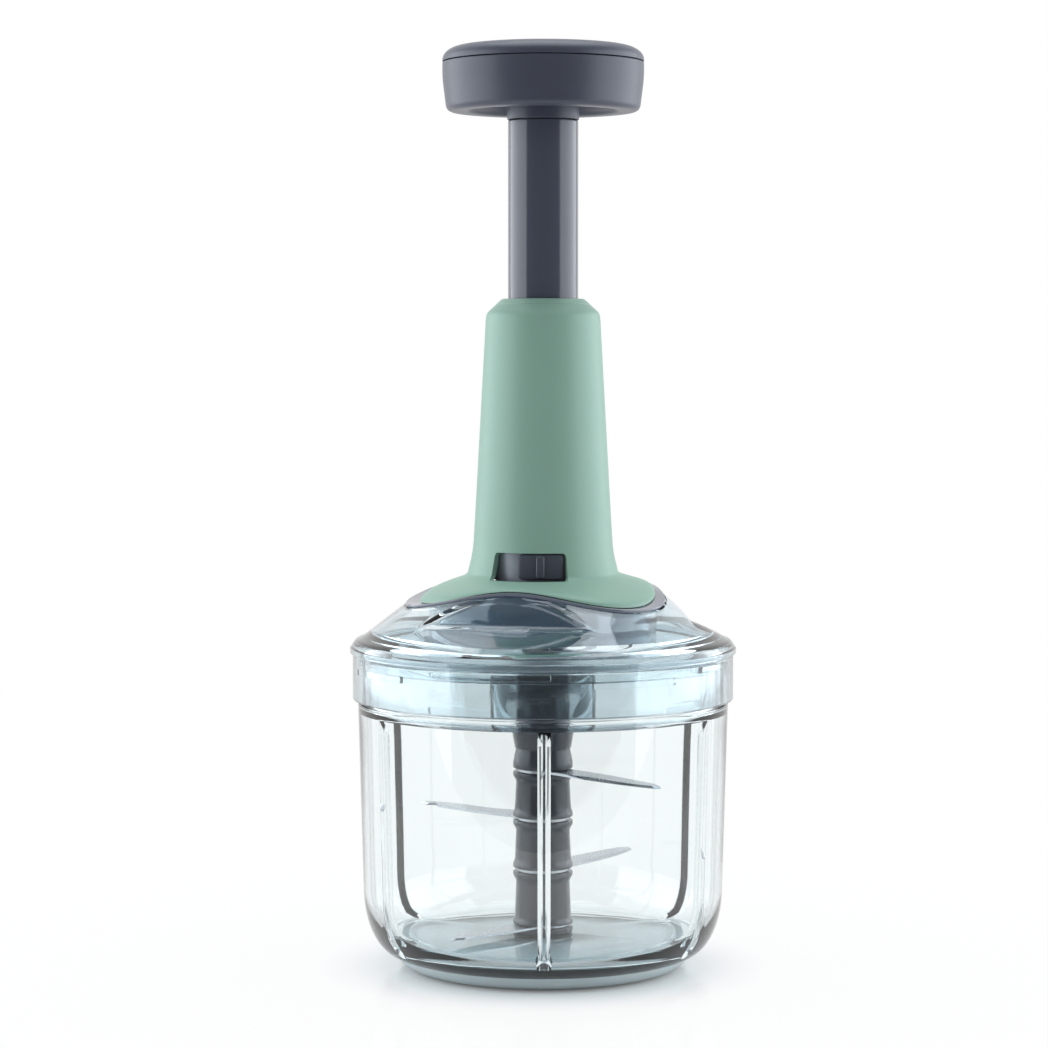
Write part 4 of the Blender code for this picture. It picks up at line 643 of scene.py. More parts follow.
# %% The stack of spacers
CORE_RADIUS = radius_of("blade_core") - HAIR
CORE_BORE = CORE_RADIUS + CLEARANCE
SPACER_RADIUS, SPACER_WAIST, BEAD = radius_of("spacer_lower") - HAIR, 8.9 * MM, 1.2 * MM
STACK_FACETS, SOCKET_DEPTH, CORE_GAP = 72, 1.1 * MM, 0.6 * MM


def spacer_profile(low, high):
    return [(SPACER_RADIUS, low, FINE), (SPACER_RADIUS, low + BEAD, SOFT),
            (SPACER_WAIST + 0.5 * MM, low + 2 * BEAD, 2.0 * MM),
            (SPACER_WAIST, high - 2.4 * BEAD, 2.0 * MM), (SPACER_RADIUS, high - BEAD, SOFT),
            (SPACER_RADIUS, high, FINE), (CORE_BORE, high), (CORE_BORE, low)]


for node in ("spacer_lower", "spacer_middle", "spacer_upper"):
    mesh = turned(node, spacer_profile(*span(node)), STACK_FACETS)
    dress(node + "_moulding", mesh, DEEP_ABS, "blades", "dark_plastic", node)

foot_z, foot_top = span("blade_end_cap")
pin_bore, boss_bore = PIN_RADIUS + CLEARANCE, BOSS_RADIUS + CLEARANCE
foot_profile = [(SPACER_RADIUS, foot_z, FINE), (SPACER_RADIUS, foot_top, SOFT),
                (pin_bore, foot_top), (pin_bore, foot_z + SOCKET_DEPTH),
                (boss_bore, foot_z + SOCKET_DEPTH), (boss_bore, foot_z)]
dress("end_cap_moulding", turned("end_cap", foot_profile, STACK_FACETS), DEEP_ABS, "blades",
      "dark_plastic", "blade_end_cap")

core_z, core_top = span("blade_core")
core_profile = [(0, PIN_HIGH + CORE_GAP), (pin_bore, PIN_HIGH + CORE_GAP), (pin_bore, core_z),
                (CORE_RADIUS, core_z, FINE), (CORE_RADIUS, core_top, SOFT), (0, core_top)]
dress("core_moulding", turned("core", core_profile, 48), DEEP_ABS, "blades", "dark_plastic",
      "blade_core")

# %% [markdown]
# The cup at the top takes the coupling. It is wider at its mouth, with a plain band round it,
# and two dogs inside that the coupling's own dogs push.

# %% Blade cup
CUP_Z, CUP_TOP_Z = span("blade_cup")
CUP_RADIUS = radius_of("blade_cup") - HAIR
CUP_BORE_RADIUS, CUP_FLOOR_Z, CUP_BAND = 8.7 * MM, CUP_Z + 8.3 * MM, 1.6 * MM
CUP_STEP_Z, CUP_STEP_RADIUS = CUP_Z + 6.5 * MM, 9.4 * MM
DOG_ANGLE, DOG_HEIGHT = math.radians(40), 5.6 * MM
cup_profile = [
    (SPACER_RADIUS, CUP_Z, FINE), (SPACER_RADIUS, CUP_Z + 1.6 * MM, SOFT),
    (CUP_STEP_RADIUS - 0.4 * MM, CUP_STEP_Z, 0.2 * MM), (CUP_STEP_RADIUS, CUP_STEP_Z, 0.15 * MM),
    (CUP_RADIUS - 0.4 * MM, CUP_TOP_Z - CUP_BAND, SOFT),
    (CUP_RADIUS, CUP_TOP_Z - CUP_BAND, FINE), (CUP_RADIUS, CUP_TOP_Z, 0.6 * MM),
    (CUP_BORE_RADIUS, CUP_TOP_Z, SOFT), (CUP_BORE_RADIUS, CUP_FLOOR_Z, SOFT),
    (CORE_BORE, CUP_FLOOR_Z), (CORE_BORE, CUP_Z)]


def dog_blocks(radii, heights, first):
    """Two driving dogs opposite each other."""
    return [bent_block("dog", radii, heights, (middle - DOG_ANGLE / 2, middle + DOG_ANGLE / 2),
                       corner=EASED) for middle in (first, first + HALF_TURN)]


cup_dogs = dog_blocks((CORE_BORE + CLEARANCE, CUP_BORE_RADIUS + CLEARANCE),
                      (CUP_FLOOR_Z - 0.8 * MM, CUP_FLOOR_Z + DOG_HEIGHT),
                      LID_AZIMUTH + FULL_TURN / 4)
cup_mesh = with_cuts(turned("cup", cup_profile, STACK_FACETS), *cup_dogs, operation="UNION")
dress("cup_moulding", cup_mesh, DEEP_ABS, "blades", "dark_plastic", "blade_cup")

# %% [markdown]
# A blade is a flat plate of 0.8 mm steel with a ground edge. The outline is a round hub that
# runs out into an arm, with a fuller belly on the cutting side, and one blade has a hooked tip.
# To grind the edge, the top face's outline is drawn in along the belly, which leaves a slope.

# %% Blades
BLADE_WIDTH, BLADE_HUB_RADIUS, GRIND_WIDTH = 9.5 * MM, 8.4 * MM, 2.2 * MM
EDGE_THICKNESS = 0.15 * MM
EDGE_SHARES = ((0.3, -0.5), (0.45, -0.52), (0.6, -0.49), (0.75, -0.42), (0.88, -0.31),
               (0.98, -0.16), (1.0, 0.06), (0.93, 0.26))
HOOK_SHARES = ((0.88, 0.08), (0.84, 0.2), (0.82, 0.32), (0.5, 0.5))
BACK_SHARES = ((0.82, 0.34), (0.5, 0.5))
BLADES = (("blade_bottom", -45, 41.5, False), ("blade_third", 142, 50.0, False),
          ("blade_second", -127, 52.0, True), ("blade_top", 45, 52.0, False))


def blade_outline(reach, hooked):
    """Points of a blade along +X, each with the share of the grinding it takes."""
    start = math.asin(BLADE_WIDTH / 2 / BLADE_HUB_RADIUS)
    steps = 24
    points = []
    for step in range(steps + 1):
        angle = start + (FULL_TURN - 2 * start) * step / steps
        points.append((BLADE_HUB_RADIUS * math.cos(angle), BLADE_HUB_RADIUS * math.sin(angle), 0))
    arm = EDGE_SHARES + (HOOK_SHARES if hooked else BACK_SHARES)
    for number, (along, across) in enumerate(arm):
        ground = 0 < number < len(EDGE_SHARES)
        points.append((along * reach, across * BLADE_WIDTH, float(ground)))
    return points


def blade_mesh(name, azimuth, reach, hooked, low, high):
    """A blade turned to its azimuth, with its ground edge facing up."""
    shape = bmesh.new()
    outline = blade_outline(reach, hooked)
    hole = [polar(CORE_BORE, azimuth, 0)[:2] for azimuth in even_azimuths(48, FULL_TURN / 4)]
    edge_z = low + EDGE_THICKNESS
    foot = [shape.verts.new((x, y, low)) for x, y, ground in outline]
    side = [shape.verts.new((x, y, edge_z if ground else high)) for x, y, ground in outline]
    top = []
    for (x, y, ground), below in zip(outline, side):
        if not ground:
            top.append(below)
            continue
        inward = Vector((reach * 0.5 - x, 0.25 * BLADE_WIDTH - y))
        inward = inward.normalized() * GRIND_WIDTH
        top.append(shape.verts.new((x + inward.x * 0.4, y + abs(inward.y), high)))
    rims = [[shape.verts.new((x, y, z)) for x, y in hole] for z in (low, high)]
    for lower, upper in ((foot, side), (rims[0], rims[1]), (side, top)):
        for index in range(len(lower)):
            after = (index + 1) % len(lower)
            corners = list(dict.fromkeys([lower[index], lower[after], upper[after], upper[index]]))
            if len(corners) > 2:
                shape.faces.new(corners)
    for outer, inner in ((foot, rims[0]), (top, rims[1])):
        edges = []
        for loop in (outer, inner):
            for index, vertex in enumerate(loop):
                pair = (vertex, loop[(index + 1) % len(loop)])
                edges.append(shape.edges.get(pair) or shape.edges.new(pair))
        bmesh.ops.triangle_fill(shape, use_beauty=True, edges=edges)
    bmesh.ops.rotate(shape, verts=shape.verts, matrix=Matrix.Rotation(azimuth, 3, "Z"))
    return finished(shape, name)


for node, degrees, reach, hooked in BLADES:
    mesh = blade_mesh(node, math.radians(degrees - 90), reach * MM - HAIR, hooked,
                      *span(node))
    dress(node + "_steel", mesh, BLADE_STEEL, "blades", "steel", node, sharp=12)
print("blades:", len(BLADES))

# %% [markdown]
# The lid is a cone on a narrow ledge with a rounded rim, and a skirt hangs under it. Three grip
# scoops are cut into the cone, each a flat floor and a steep wall that meet in a straight
# crease. Over the plan of the lid its top is one height: the lower of the cone and the scoop.
# Plain min and max would leave knife edges, so they are softened by a millimetre or less.

# %% The height of the lid's top
SCOOP_COUNT = 3
SEAT_ROOF_Z = high_of("lid_seal") + CLEARANCE
EDGE_Z, EDGE_RISE, EDGE_WIDTH, EDGE_POWER = SEAT_ROOF_Z - 1.6 * MM, 2.5 * MM, 3.0 * MM, 2.5
LEDGE_WIDTH, LEDGE_SLOPE = 4.6 * MM, 0.38
FOOT_RADIUS, FOOT_Z = LID_RADIUS - LEDGE_WIDTH, EDGE_Z + EDGE_RISE + LEDGE_WIDTH * LEDGE_SLOPE
CONE_SLOPE, SHOULDER_SLOPE, SHOULDER_RADIUS = 0.78, 0.62, 46.0 * MM
SHOULDER_Z = FOOT_Z + (FOOT_RADIUS - SHOULDER_RADIUS) * CONE_SLOPE
WALL_SLOPE, FLOOR_SLOPE = 1.6, 0.38
CREASE_DISTANCE, CREASE_DROP = 43.0 * MM, 6.0 * MM
RING_MID_RADIUS, RING_WAVE, WAVE_RISE = 41.5 * MM, 4.5 * MM, 2.7 * MM
RING_THICKNESS, RING_OVER_CONE = 1.1 * MM, 0.8 * MM
LID_WALL = 2.2 * MM


def soft_max(first, second, size):
    """The larger of two heights, with the step between them rounded over."""
    blend = max(0.0, 1 - abs(first - second) / size)
    return max(first, second) + size * blend * blend / 4


def soft_min(first, second, size):
    return -soft_max(-first, -second, size)


def cone_height(radius):
    """Top of the lid without its scoops: shoulder, cone, ledge and rounded edge."""
    inward = FOOT_RADIUS - radius
    shoulder = SHOULDER_Z + (SHOULDER_RADIUS - radius) * SHOULDER_SLOPE
    cone = soft_min(FOOT_Z + inward * CONE_SLOPE, shoulder, SOFT)
    past = max(0.0, radius - (LID_RADIUS - EDGE_WIDTH)) / EDGE_WIDTH
    return soft_max(cone, FOOT_Z + inward * LEDGE_SLOPE, SOFT) - EDGE_RISE * past ** EDGE_POWER


WAVE_MID_Z = cone_height(RING_MID_RADIUS) + RING_OVER_CONE
CREASE_Z = cone_height(CREASE_DISTANCE) - CREASE_DROP


def wave(azimuth):
    return math.cos(SCOOP_COUNT * (azimuth - LID_AZIMUTH))


def wave_height(azimuth):
    """Top of the grey ring round the handle's foot."""
    return WAVE_MID_Z + WAVE_RISE * wave(azimuth)


def ring_edge(azimuth):
    return RING_MID_RADIUS - RING_WAVE * wave(azimuth)


def seat_height(azimuth):
    return wave_height(azimuth) - RING_THICKNESS - CLEARANCE


def scoop_azimuth(azimuth):
    pitch = FULL_TURN / SCOOP_COUNT
    return (azimuth - LID_AZIMUTH + pitch / 2) % pitch - pitch / 2


def lid_top(radius, azimuth):
    inward = CREASE_DISTANCE - radius * math.cos(scoop_azimuth(azimuth))
    scoop = soft_max(CREASE_Z + inward * WALL_SLOPE, CREASE_Z + inward * FLOOR_SLOPE, 0.7 * MM)
    return soft_min(cone_height(radius), scoop, 1.2 * MM)


print("ring wave from", round((WAVE_MID_Z - WAVE_RISE) / MM, 1), "to",
      round((WAVE_MID_Z + WAVE_RISE) / MM, 1), "mm")

# %% [markdown]
# A level row needs one radius and one height. The rows of the lid, the grey ring and the handle
# aren't all level, so here a radius or a height can also be a rule: a function that is asked
# for its value at each azimuth.

# %% Rows that follow rules of azimuth
def ruled_rows(points, azimuths):
    """Rows of points whose radius or height is a number, or a rule of azimuth."""
    rows = []
    for radius, height in points:
        rows.append([polar(radius(a) if callable(radius) else radius, a,
                           height(a) if callable(height) else height) for a in azimuths])
    return rows


def on_lid(radius, drop=0.0):
    """A point of a lid row: a rule for its radius, and one for its height below the top."""
    return radius, lambda azimuth: lid_top(radius(azimuth), azimuth) - drop


# %% [markdown]
# The section of the lid starts at the seat of the grey ring and runs outwards over the scoops,
# with rows a third of a millimetre apart. It goes down the rounded rim, under the skirt, up its
# inside, round the collar that centres the lid in the bowl, and back in to the well under the
# handle and the hub that carries the coupling.

# %% The lid's rows
SKIRT_Z = low_of("lid")
SKIRT_RADIUS = LID_RADIUS - 0.9 * MM
SKIRT_BORE = SKIRT_RADIUS - 1.9 * MM
COLLAR_RADIUS = NECK_RADIUS - BOWL_WALL - CLEARANCE
COLLAR_BORE, COLLAR_Z = COLLAR_RADIUS - 1.6 * MM, RIM_Z - 3.5 * MM
WELL_RADIUS, WELL_OUTER = 36.0 * MM, 37.6 * MM
WELL_Z = SEAT_ROOF_Z - 0.1 * MM
WELL_UNDER_Z = WELL_Z - 2.0 * MM
HUB_RADIUS, HUB_BORE, HUB_Z = 17.4 * MM, 15.8 * MM, WELL_UNDER_Z - 13.5 * MM
JOURNAL_BORE = 6.7 * MM
RIM_BAND_Z = EDGE_Z - 1.2 * MM
TOP_STEPS, EDGE_STEPS, UNDER_STEPS = 60, 10, 50
RING_GAP = 0.6 * MM


def top_radius(share):
    """Radius at a share of the way from the grey ring, 0, to the lid's rim, 1."""
    return lambda azimuth: (ring_edge(azimuth) + RING_GAP) * (1 - share) + LID_RADIUS * share


def under_radius(share):
    return lambda azimuth: COLLAR_BORE + (WELL_OUTER - COLLAR_BORE) * share


def lid_points():
    """Section of the lid from the seat of the grey ring, outwards and round."""
    points = [(WELL_RADIUS, seat_height), (WELL_RADIUS + 0.3 * MM, seat_height),
              (lambda azimuth: ring_edge(azimuth) + CLEARANCE, seat_height)]
    rounded = EDGE_WIDTH / (LID_RADIUS - RING_MID_RADIUS)
    shares = [(1 - rounded) * step / TOP_STEPS for step in range(TOP_STEPS)]
    shares += [1 - rounded * (1 - step / EDGE_STEPS) for step in range(EDGE_STEPS)]
    points += [on_lid(top_radius(share)) for share in shares]
    outside = soft_profile([(LID_RADIUS, EDGE_Z + 0.5 * MM), (LID_RADIUS, RIM_BAND_Z, SOFT),
                            (SKIRT_RADIUS, RIM_BAND_Z, EASED), (SKIRT_RADIUS, SKIRT_Z, SOFT),
                            (SKIRT_BORE, SKIRT_Z, SOFT), (SKIRT_BORE, SEAT_ROOF_Z, FINE),
                            (COLLAR_RADIUS, SEAT_ROOF_Z, FINE),
                            (COLLAR_RADIUS, COLLAR_Z, SOFT), (COLLAR_BORE, COLLAR_Z, SOFT),
                            (COLLAR_BORE, SEAT_ROOF_Z)], closed=False)
    points += outside
    shares = [step / UNDER_STEPS for step in range(UNDER_STEPS + 1)]
    points += [on_lid(under_radius(share), LID_WALL) for share in shares]
    well = soft_profile([(WELL_OUTER, WELL_Z + 6 * MM), (WELL_OUTER, WELL_UNDER_Z, 1.0 * MM),
                         (HUB_RADIUS, WELL_UNDER_Z, 0.8 * MM), (HUB_RADIUS, HUB_Z, SOFT),
                         (HUB_BORE, HUB_Z, SOFT), (HUB_BORE, WELL_UNDER_Z, 0.6 * MM),
                         (JOURNAL_BORE, WELL_UNDER_Z), (JOURNAL_BORE, WELL_Z),
                         (WELL_RADIUS, WELL_Z, 0.6 * MM), (WELL_RADIUS, WELL_Z + 6 * MM)],
                        closed=False)
    return points + well


TAB_ANGLE, TAB_HEIGHT, TAB_TOP = math.radians(28), 2.2 * MM, LUG_TOP - LUG_HEIGHT - CLEARANCE


def tab_block(index):
    middle = LUG_AZIMUTH + FULL_TURN * (index + 0.5) / LUG_COUNT
    return bent_block("tab", (NECK_RADIUS + CLEARANCE, SKIRT_BORE + 0.9 * MM),
                      (TAB_TOP - TAB_HEIGHT, TAB_TOP),
                      (middle - TAB_ANGLE / 2, middle + TAB_ANGLE / 2), corner=SOFT)


lid_skin = skin("lid_skin", ruled_rows(lid_points(), even_azimuths(360)), closed=True)
lid_mesh = with_cuts(lid_skin, *[tab_block(index) for index in range(LUG_COUNT)],
                     operation="UNION")
dress("clear_lid", lid_mesh, LID_SAN, "lid", "tinted_lid", "lid", sharp=35)

SEAL_LOW, SEAL_HIGH = span("lid_seal")
SEAL_OUTER, SEAL_INNER = radius_of("lid_seal") - HAIR, COLLAR_RADIUS + CLEARANCE
seal_profile = [(SEAL_OUTER, SEAL_LOW, 0.8 * MM), (SEAL_OUTER, SEAL_HIGH, 0.8 * MM),
                (SEAL_INNER, SEAL_HIGH, SOFT), (SEAL_INNER, SEAL_LOW, SOFT)]
dress("silicone_seal", turned("silicone_seal", seal_profile, 192), SEAL_SILICONE, "seal",
      "seal_rubber", "lid_seal")
print("lid:", len(lid_mesh.polygons), "faces")

# %% [markdown]
# The grey handle base is a cup that stands in the lid's well. Its rim turns outwards into a
# thin ring whose edge waves three times round, high over each scoop and low between them. Only
# that lip shows from outside, but the cup is seen through the clear cone.

# %% Handle base
CUP_OUTER, CUP_WALL = 35.7 * MM, 1.8 * MM
BASE_Z, BASE_TOP_Z = low_of("handle_base"), low_of("handle_base") + 2.0 * MM
BASE_HOLE, COLUMN_BORE = 9.4 * MM, TUBE_RADIUS + RUNNING_GAP
COLUMN_RADIUS, COLUMN_TOP_Z = COLUMN_BORE + 1.6 * MM, WAVE_MID_Z + 8.3 * MM
LIP_ROUND, ROUND_SHARES = 0.45 * MM, ((1, 0), (0.3, 0.3), (0, 1))


def edge_less(inset):
    return lambda azimuth: ring_edge(azimuth) - inset


def wave_less(drop):
    return lambda azimuth: wave_height(azimuth) - drop


lip_points = [(edge_less(LIP_ROUND * inset), wave_less(RING_THICKNESS - LIP_ROUND * rise))
              for inset, rise in ROUND_SHARES]
lip_points += [(edge_less(LIP_ROUND * inset), wave_less(LIP_ROUND * drop))
               for inset, drop in reversed(ROUND_SHARES)]
base_points = [(CUP_OUTER - 0.6 * MM, BASE_Z), (CUP_OUTER, BASE_Z + 0.6 * MM),
               (CUP_OUTER, wave_less(RING_THICKNESS + 0.4 * MM)),
               (CUP_OUTER + 0.2 * MM, wave_less(RING_THICKNESS))] + lip_points
base_points += [(CUP_OUTER - CUP_WALL, wave_less(0)), (CUP_OUTER - CUP_WALL, BASE_TOP_Z),
                (COLUMN_RADIUS, BASE_TOP_Z), (COLUMN_RADIUS, COLUMN_TOP_Z),
                (COLUMN_BORE, COLUMN_TOP_Z), (COLUMN_BORE, BASE_TOP_Z), (BASE_HOLE, BASE_TOP_Z),
                (BASE_HOLE, BASE_Z)]
base_mesh = skin("handle_base", ruled_rows(base_points, even_azimuths(240)), closed=True)
# The ring's lighter grey is painted sheen.
dress("grey_ring", base_mesh, LIP_ABS_PAINTED_SHEEN, "lid", "grey_plastic", "handle_base", sharp=35)

# %% [markdown]
# The green shell flares out to the same wave, a little inside the grey lip. Above the flare it
# is a long round grip that narrows very slightly to its top. The flare blends two radii by a
# smooth share, so the surface leaves the grip without a line and lands flat on the ring.

# %% Green shell
HANDLE_Z, SHELL_WALL = WAVE_MID_Z + 7.4 * MM, 2.2 * MM
HANDLE_HEIGHT = HANDLE_TOP_Z - HANDLE_Z
TOP_RADIUS, BEVEL_WIDTH, BEVEL_HEIGHT = 18.7 * MM, 6.2 * MM, 4.8 * MM
EDGE_INSET, EDGE_INSET_WAVE = 3.3 * MM, 1.7 * MM
GRIP_RADII = ((0.0, 25.0), (0.037, 23.9), (0.092, 23.1), (0.26, 22.2), (0.96, 18.75))
FLARE_STEPS, GRIP_STEPS = 16, 40
BUSH_BORE = TUBE_RADIUS + RUNNING_GAP + 3.2 * MM + CLEARANCE
BUSH_SEAT_Z, LIP_Z = HANDLE_TOP_Z - 11.5 * MM, HANDLE_TOP_Z - 1.6 * MM
LIP_BORE = TOP_RADIUS - BEVEL_WIDTH - 0.15 * MM


def grip_radius(share):
    """Radius of the grip at a share of its height: straight runs with softened joints."""
    radius = 0.0
    offsets = (-0.02, -0.01, 0.0, 0.01, 0.02)
    for offset in offsets:
        at = min(max(share + offset, 0.0), GRIP_RADII[-1][0])
        for (low, first), (high, second) in zip(GRIP_RADII, GRIP_RADII[1:]):
            if low <= at <= high:
                radius += (first + (second - first) * (at - low) / (high - low)) * MM
                break
    return radius / len(offsets)


def flare_point(share, wall):
    """The flare at a share of its way from the grip's foot, 0, to the wavy edge, 1."""
    ease = share * share * (3 - 2 * share)
    foot = grip_radius(0)

    def radius(azimuth):
        inset = EDGE_INSET - EDGE_INSET_WAVE * wave(azimuth)
        return foot + (ring_edge(azimuth) - inset - foot) * ease - wall

    def height(azimuth):
        return HANDLE_Z + (wave_height(azimuth) + CLEARANCE - HANDLE_Z) * share
    return radius, height


shell_points = [flare_point(1 - step / FLARE_STEPS, 0) for step in range(FLARE_STEPS)]
grip_shares = [step / GRIP_STEPS * 0.92 for step in range(GRIP_STEPS + 1)]
shell_points += [(grip_radius(share), HANDLE_Z + HANDLE_HEIGHT * share) for share in grip_shares]
shell_points += soft_profile([shell_points[-1], (TOP_RADIUS, HANDLE_TOP_Z - BEVEL_HEIGHT, 2 * MM),
                              (TOP_RADIUS - BEVEL_WIDTH + MM, HANDLE_TOP_Z, 1.2 * MM),
                              (LIP_BORE, HANDLE_TOP_Z, 0.2 * MM), (LIP_BORE, LIP_Z),
                              (BUSH_BORE, LIP_Z), (BUSH_BORE, BUSH_SEAT_Z),
                              (TOP_RADIUS - SHELL_WALL, BUSH_SEAT_Z)], closed=False)[1:]
shell_points += [(grip_radius(share) - SHELL_WALL, HANDLE_Z + HANDLE_HEIGHT * share)
                 for share in reversed(grip_shares) if share < 0.86]
shell_points += [flare_point(step / FLARE_STEPS, SHELL_WALL) for step in range(1, FLARE_STEPS + 1)]
shell_skin = skin("green_shell", ruled_rows(shell_points, even_azimuths(288)), closed=True)

# %% [markdown]
# The slot for the lock is cut through the shell with a block bent round the axis. Its corners
# are rounded, as a cutter leaves them.

# %% Slot in the shell
SLOT_TURN, SLOT_ANGLE = LID_AZIMUTH + math.radians(4), math.radians(61.3)
SLOT_Z, SLOT_HEIGHT = HANDLE_Z + 2.7 * MM, 9.0 * MM
slot_heights = (SLOT_Z - SLOT_HEIGHT / 2, SLOT_Z + SLOT_HEIGHT / 2)
slot_azimuths = (SLOT_TURN - SLOT_ANGLE / 2, SLOT_TURN + SLOT_ANGLE / 2)
slot_cutter = bent_block("slot", (19 * MM, 34 * MM), slot_heights, slot_azimuths,
                         corner=1.8 * MM)
shell_mesh = with_cuts(shell_skin, slot_cutter)
dress("green_handle", shell_mesh, GREEN_ABS, "lid", "green_shell", "handle_shell", sharp=35)
print("shell:", len(shell_mesh.polygons), "faces")

# %% [markdown]
# The lock is a curved plate behind the slot with a button on it. The button has rounded corners
# and an upright ridge for the thumb. Plate, neck, ring and inner lug are one moulding with a
# lighter grey than the button, so their blocks are joined to one skin and the button to another.
# That lighter grey is painted light: it lights the plate, which sits in shade behind the slot's
# wall.

# %% Lock slider
LOCK_TURN, BUTTON_ANGLE = math.radians(19), math.radians(37.8)
NECK_ANGLE, INNER_LUG_ANGLE = math.radians(16), math.radians(14)
PLATE_RADIUS, PLATE_THICKNESS, PLATE_OVERLAP = 20.6 * MM, 1.4 * MM, 1.7 * MM
BUTTON_RADIUS, BUTTON_PLAY = 22.9 * MM, 0.4 * MM
RIDGE_ANGLE, RIDGE_PROUD = math.radians(6.6), 1.2 * MM
LOCK_BORE, LOCK_RING_WALL, LOCK_RING_HEIGHT = TUBE_RADIUS + 0.65 * MM, 1.8 * MM, 3.0 * MM
button_middle = SLOT_TURN + LOCK_TURN / 2
half_slot = SLOT_HEIGHT / 2
half_ring = LOCK_RING_HEIGHT / 2


def lock_block(radii, half_height, azimuths, **rounding):
    return bent_block("lock", radii, (SLOT_Z - half_height, SLOT_Z + half_height),
                      azimuths, **rounding)


def about(middle, angle):
    return middle - angle / 2, middle + angle / 2


ring_profile = [(LOCK_BORE, SLOT_Z - half_ring), (LOCK_BORE + LOCK_RING_WALL, SLOT_Z - half_ring),
                (LOCK_BORE + LOCK_RING_WALL, SLOT_Z + half_ring), (LOCK_BORE, SLOT_Z + half_ring)]
PLATE_LEFT, PLATE_RIGHT = math.radians(6.5), math.radians(20)
plate_azimuths = (slot_azimuths[0] - PLATE_LEFT, slot_azimuths[1] + PLATE_RIGHT)
plate_blocks = [
    lock_block((LOCK_BORE + 1.2 * MM, PLATE_RADIUS - PLATE_THICKNESS / 2), half_ring,
               about(button_middle, NECK_ANGLE)),
    lock_block((PLATE_RADIUS - PLATE_THICKNESS, PLATE_RADIUS), half_slot + PLATE_OVERLAP,
               plate_azimuths, corner=1.0 * MM),
    lock_block((TUBE_RADIUS - 0.8 * MM, LOCK_BORE + 0.6 * MM), half_ring,
               about(SLOT_TURN + HALF_TURN, INNER_LUG_ANGLE)),
]
button = lock_block((PLATE_RADIUS, BUTTON_RADIUS), half_slot - BUTTON_PLAY,
                    about(button_middle, BUTTON_ANGLE), corner=1.4 * MM, soft=SOFT)
ridge = lock_block((BUTTON_RADIUS - RIDGE_PROUD, BUTTON_RADIUS + RIDGE_PROUD - HAIR),
                   half_slot - 2 * BUTTON_PLAY, about(button_middle, RIDGE_ANGLE),
                   corner=0.8 * MM, soft=0.6 * MM)
plate_mesh = with_cuts(turned("lock_ring", ring_profile, 96), *plate_blocks, operation="UNION")
# The plate's lighter grey is painted light on it in its shaded recess.
dress("lock_plate", plate_mesh, PLATE_ABS_PAINTED_LIGHT, "lock", "dark_plastic", "lock_slider")
button_mesh = with_cuts(button, ridge, operation="UNION")
dress("lock_button", button_mesh, SLATE_ABS, "lock", "dark_plastic", "lock_slider")

# %% [markdown]
# The plunger tube is a plain polished tube. At the back it has a groove and a notch that hold
# the lock's lug, which the handle hides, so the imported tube's own cuts are made again here.

# %% Plunger tube
TUBE_BORE, GROOVE_DEPTH, PUSH_TRAVEL = 9.65 * MM, 1.1 * MM, 56.0 * MM
LUG_ANGLE_FREE, GROOVE_PLAY = math.radians(18), 0.5 * MM
tube_profile = [(TUBE_BORE, TUBE_Z, FINE), (TUBE_RADIUS, TUBE_Z, SOFT),
                (TUBE_RADIUS, TUBE_TOP_Z, FINE), (TUBE_BORE, TUBE_TOP_Z, FINE)]
groove_middle = SLOT_TURN + HALF_TURN
groove_top = SLOT_Z + half_ring + PUSH_TRAVEL + GROOVE_PLAY
notch_low = SLOT_Z - half_ring + PUSH_TRAVEL - GROOVE_PLAY
groove_radii = (TUBE_RADIUS - GROOVE_DEPTH, TUBE_RADIUS + MM)
groove = bent_block("groove", groove_radii, (TUBE_Z - MM, groove_top),
                    about(groove_middle, LUG_ANGLE_FREE))
notch = bent_block("notch", groove_radii, (notch_low, groove_top),
                   (groove_middle - LUG_ANGLE_FREE / 2 - LOCK_TURN, groove_middle))
tube_mesh = with_cuts(turned("tube", tube_profile, 144), groove, notch)
dress("polished_tube", tube_mesh, DARK_ABS, "plunger", "dark_plastic", "plunger_tube")

# %% [markdown]
# The knob is a hollow body with a cap pressed on, and the joint between them is the thin line
# high on its side. The body is slightly narrower at its foot, and under it a deep recess leaves
# a rolled rim for the fingers.

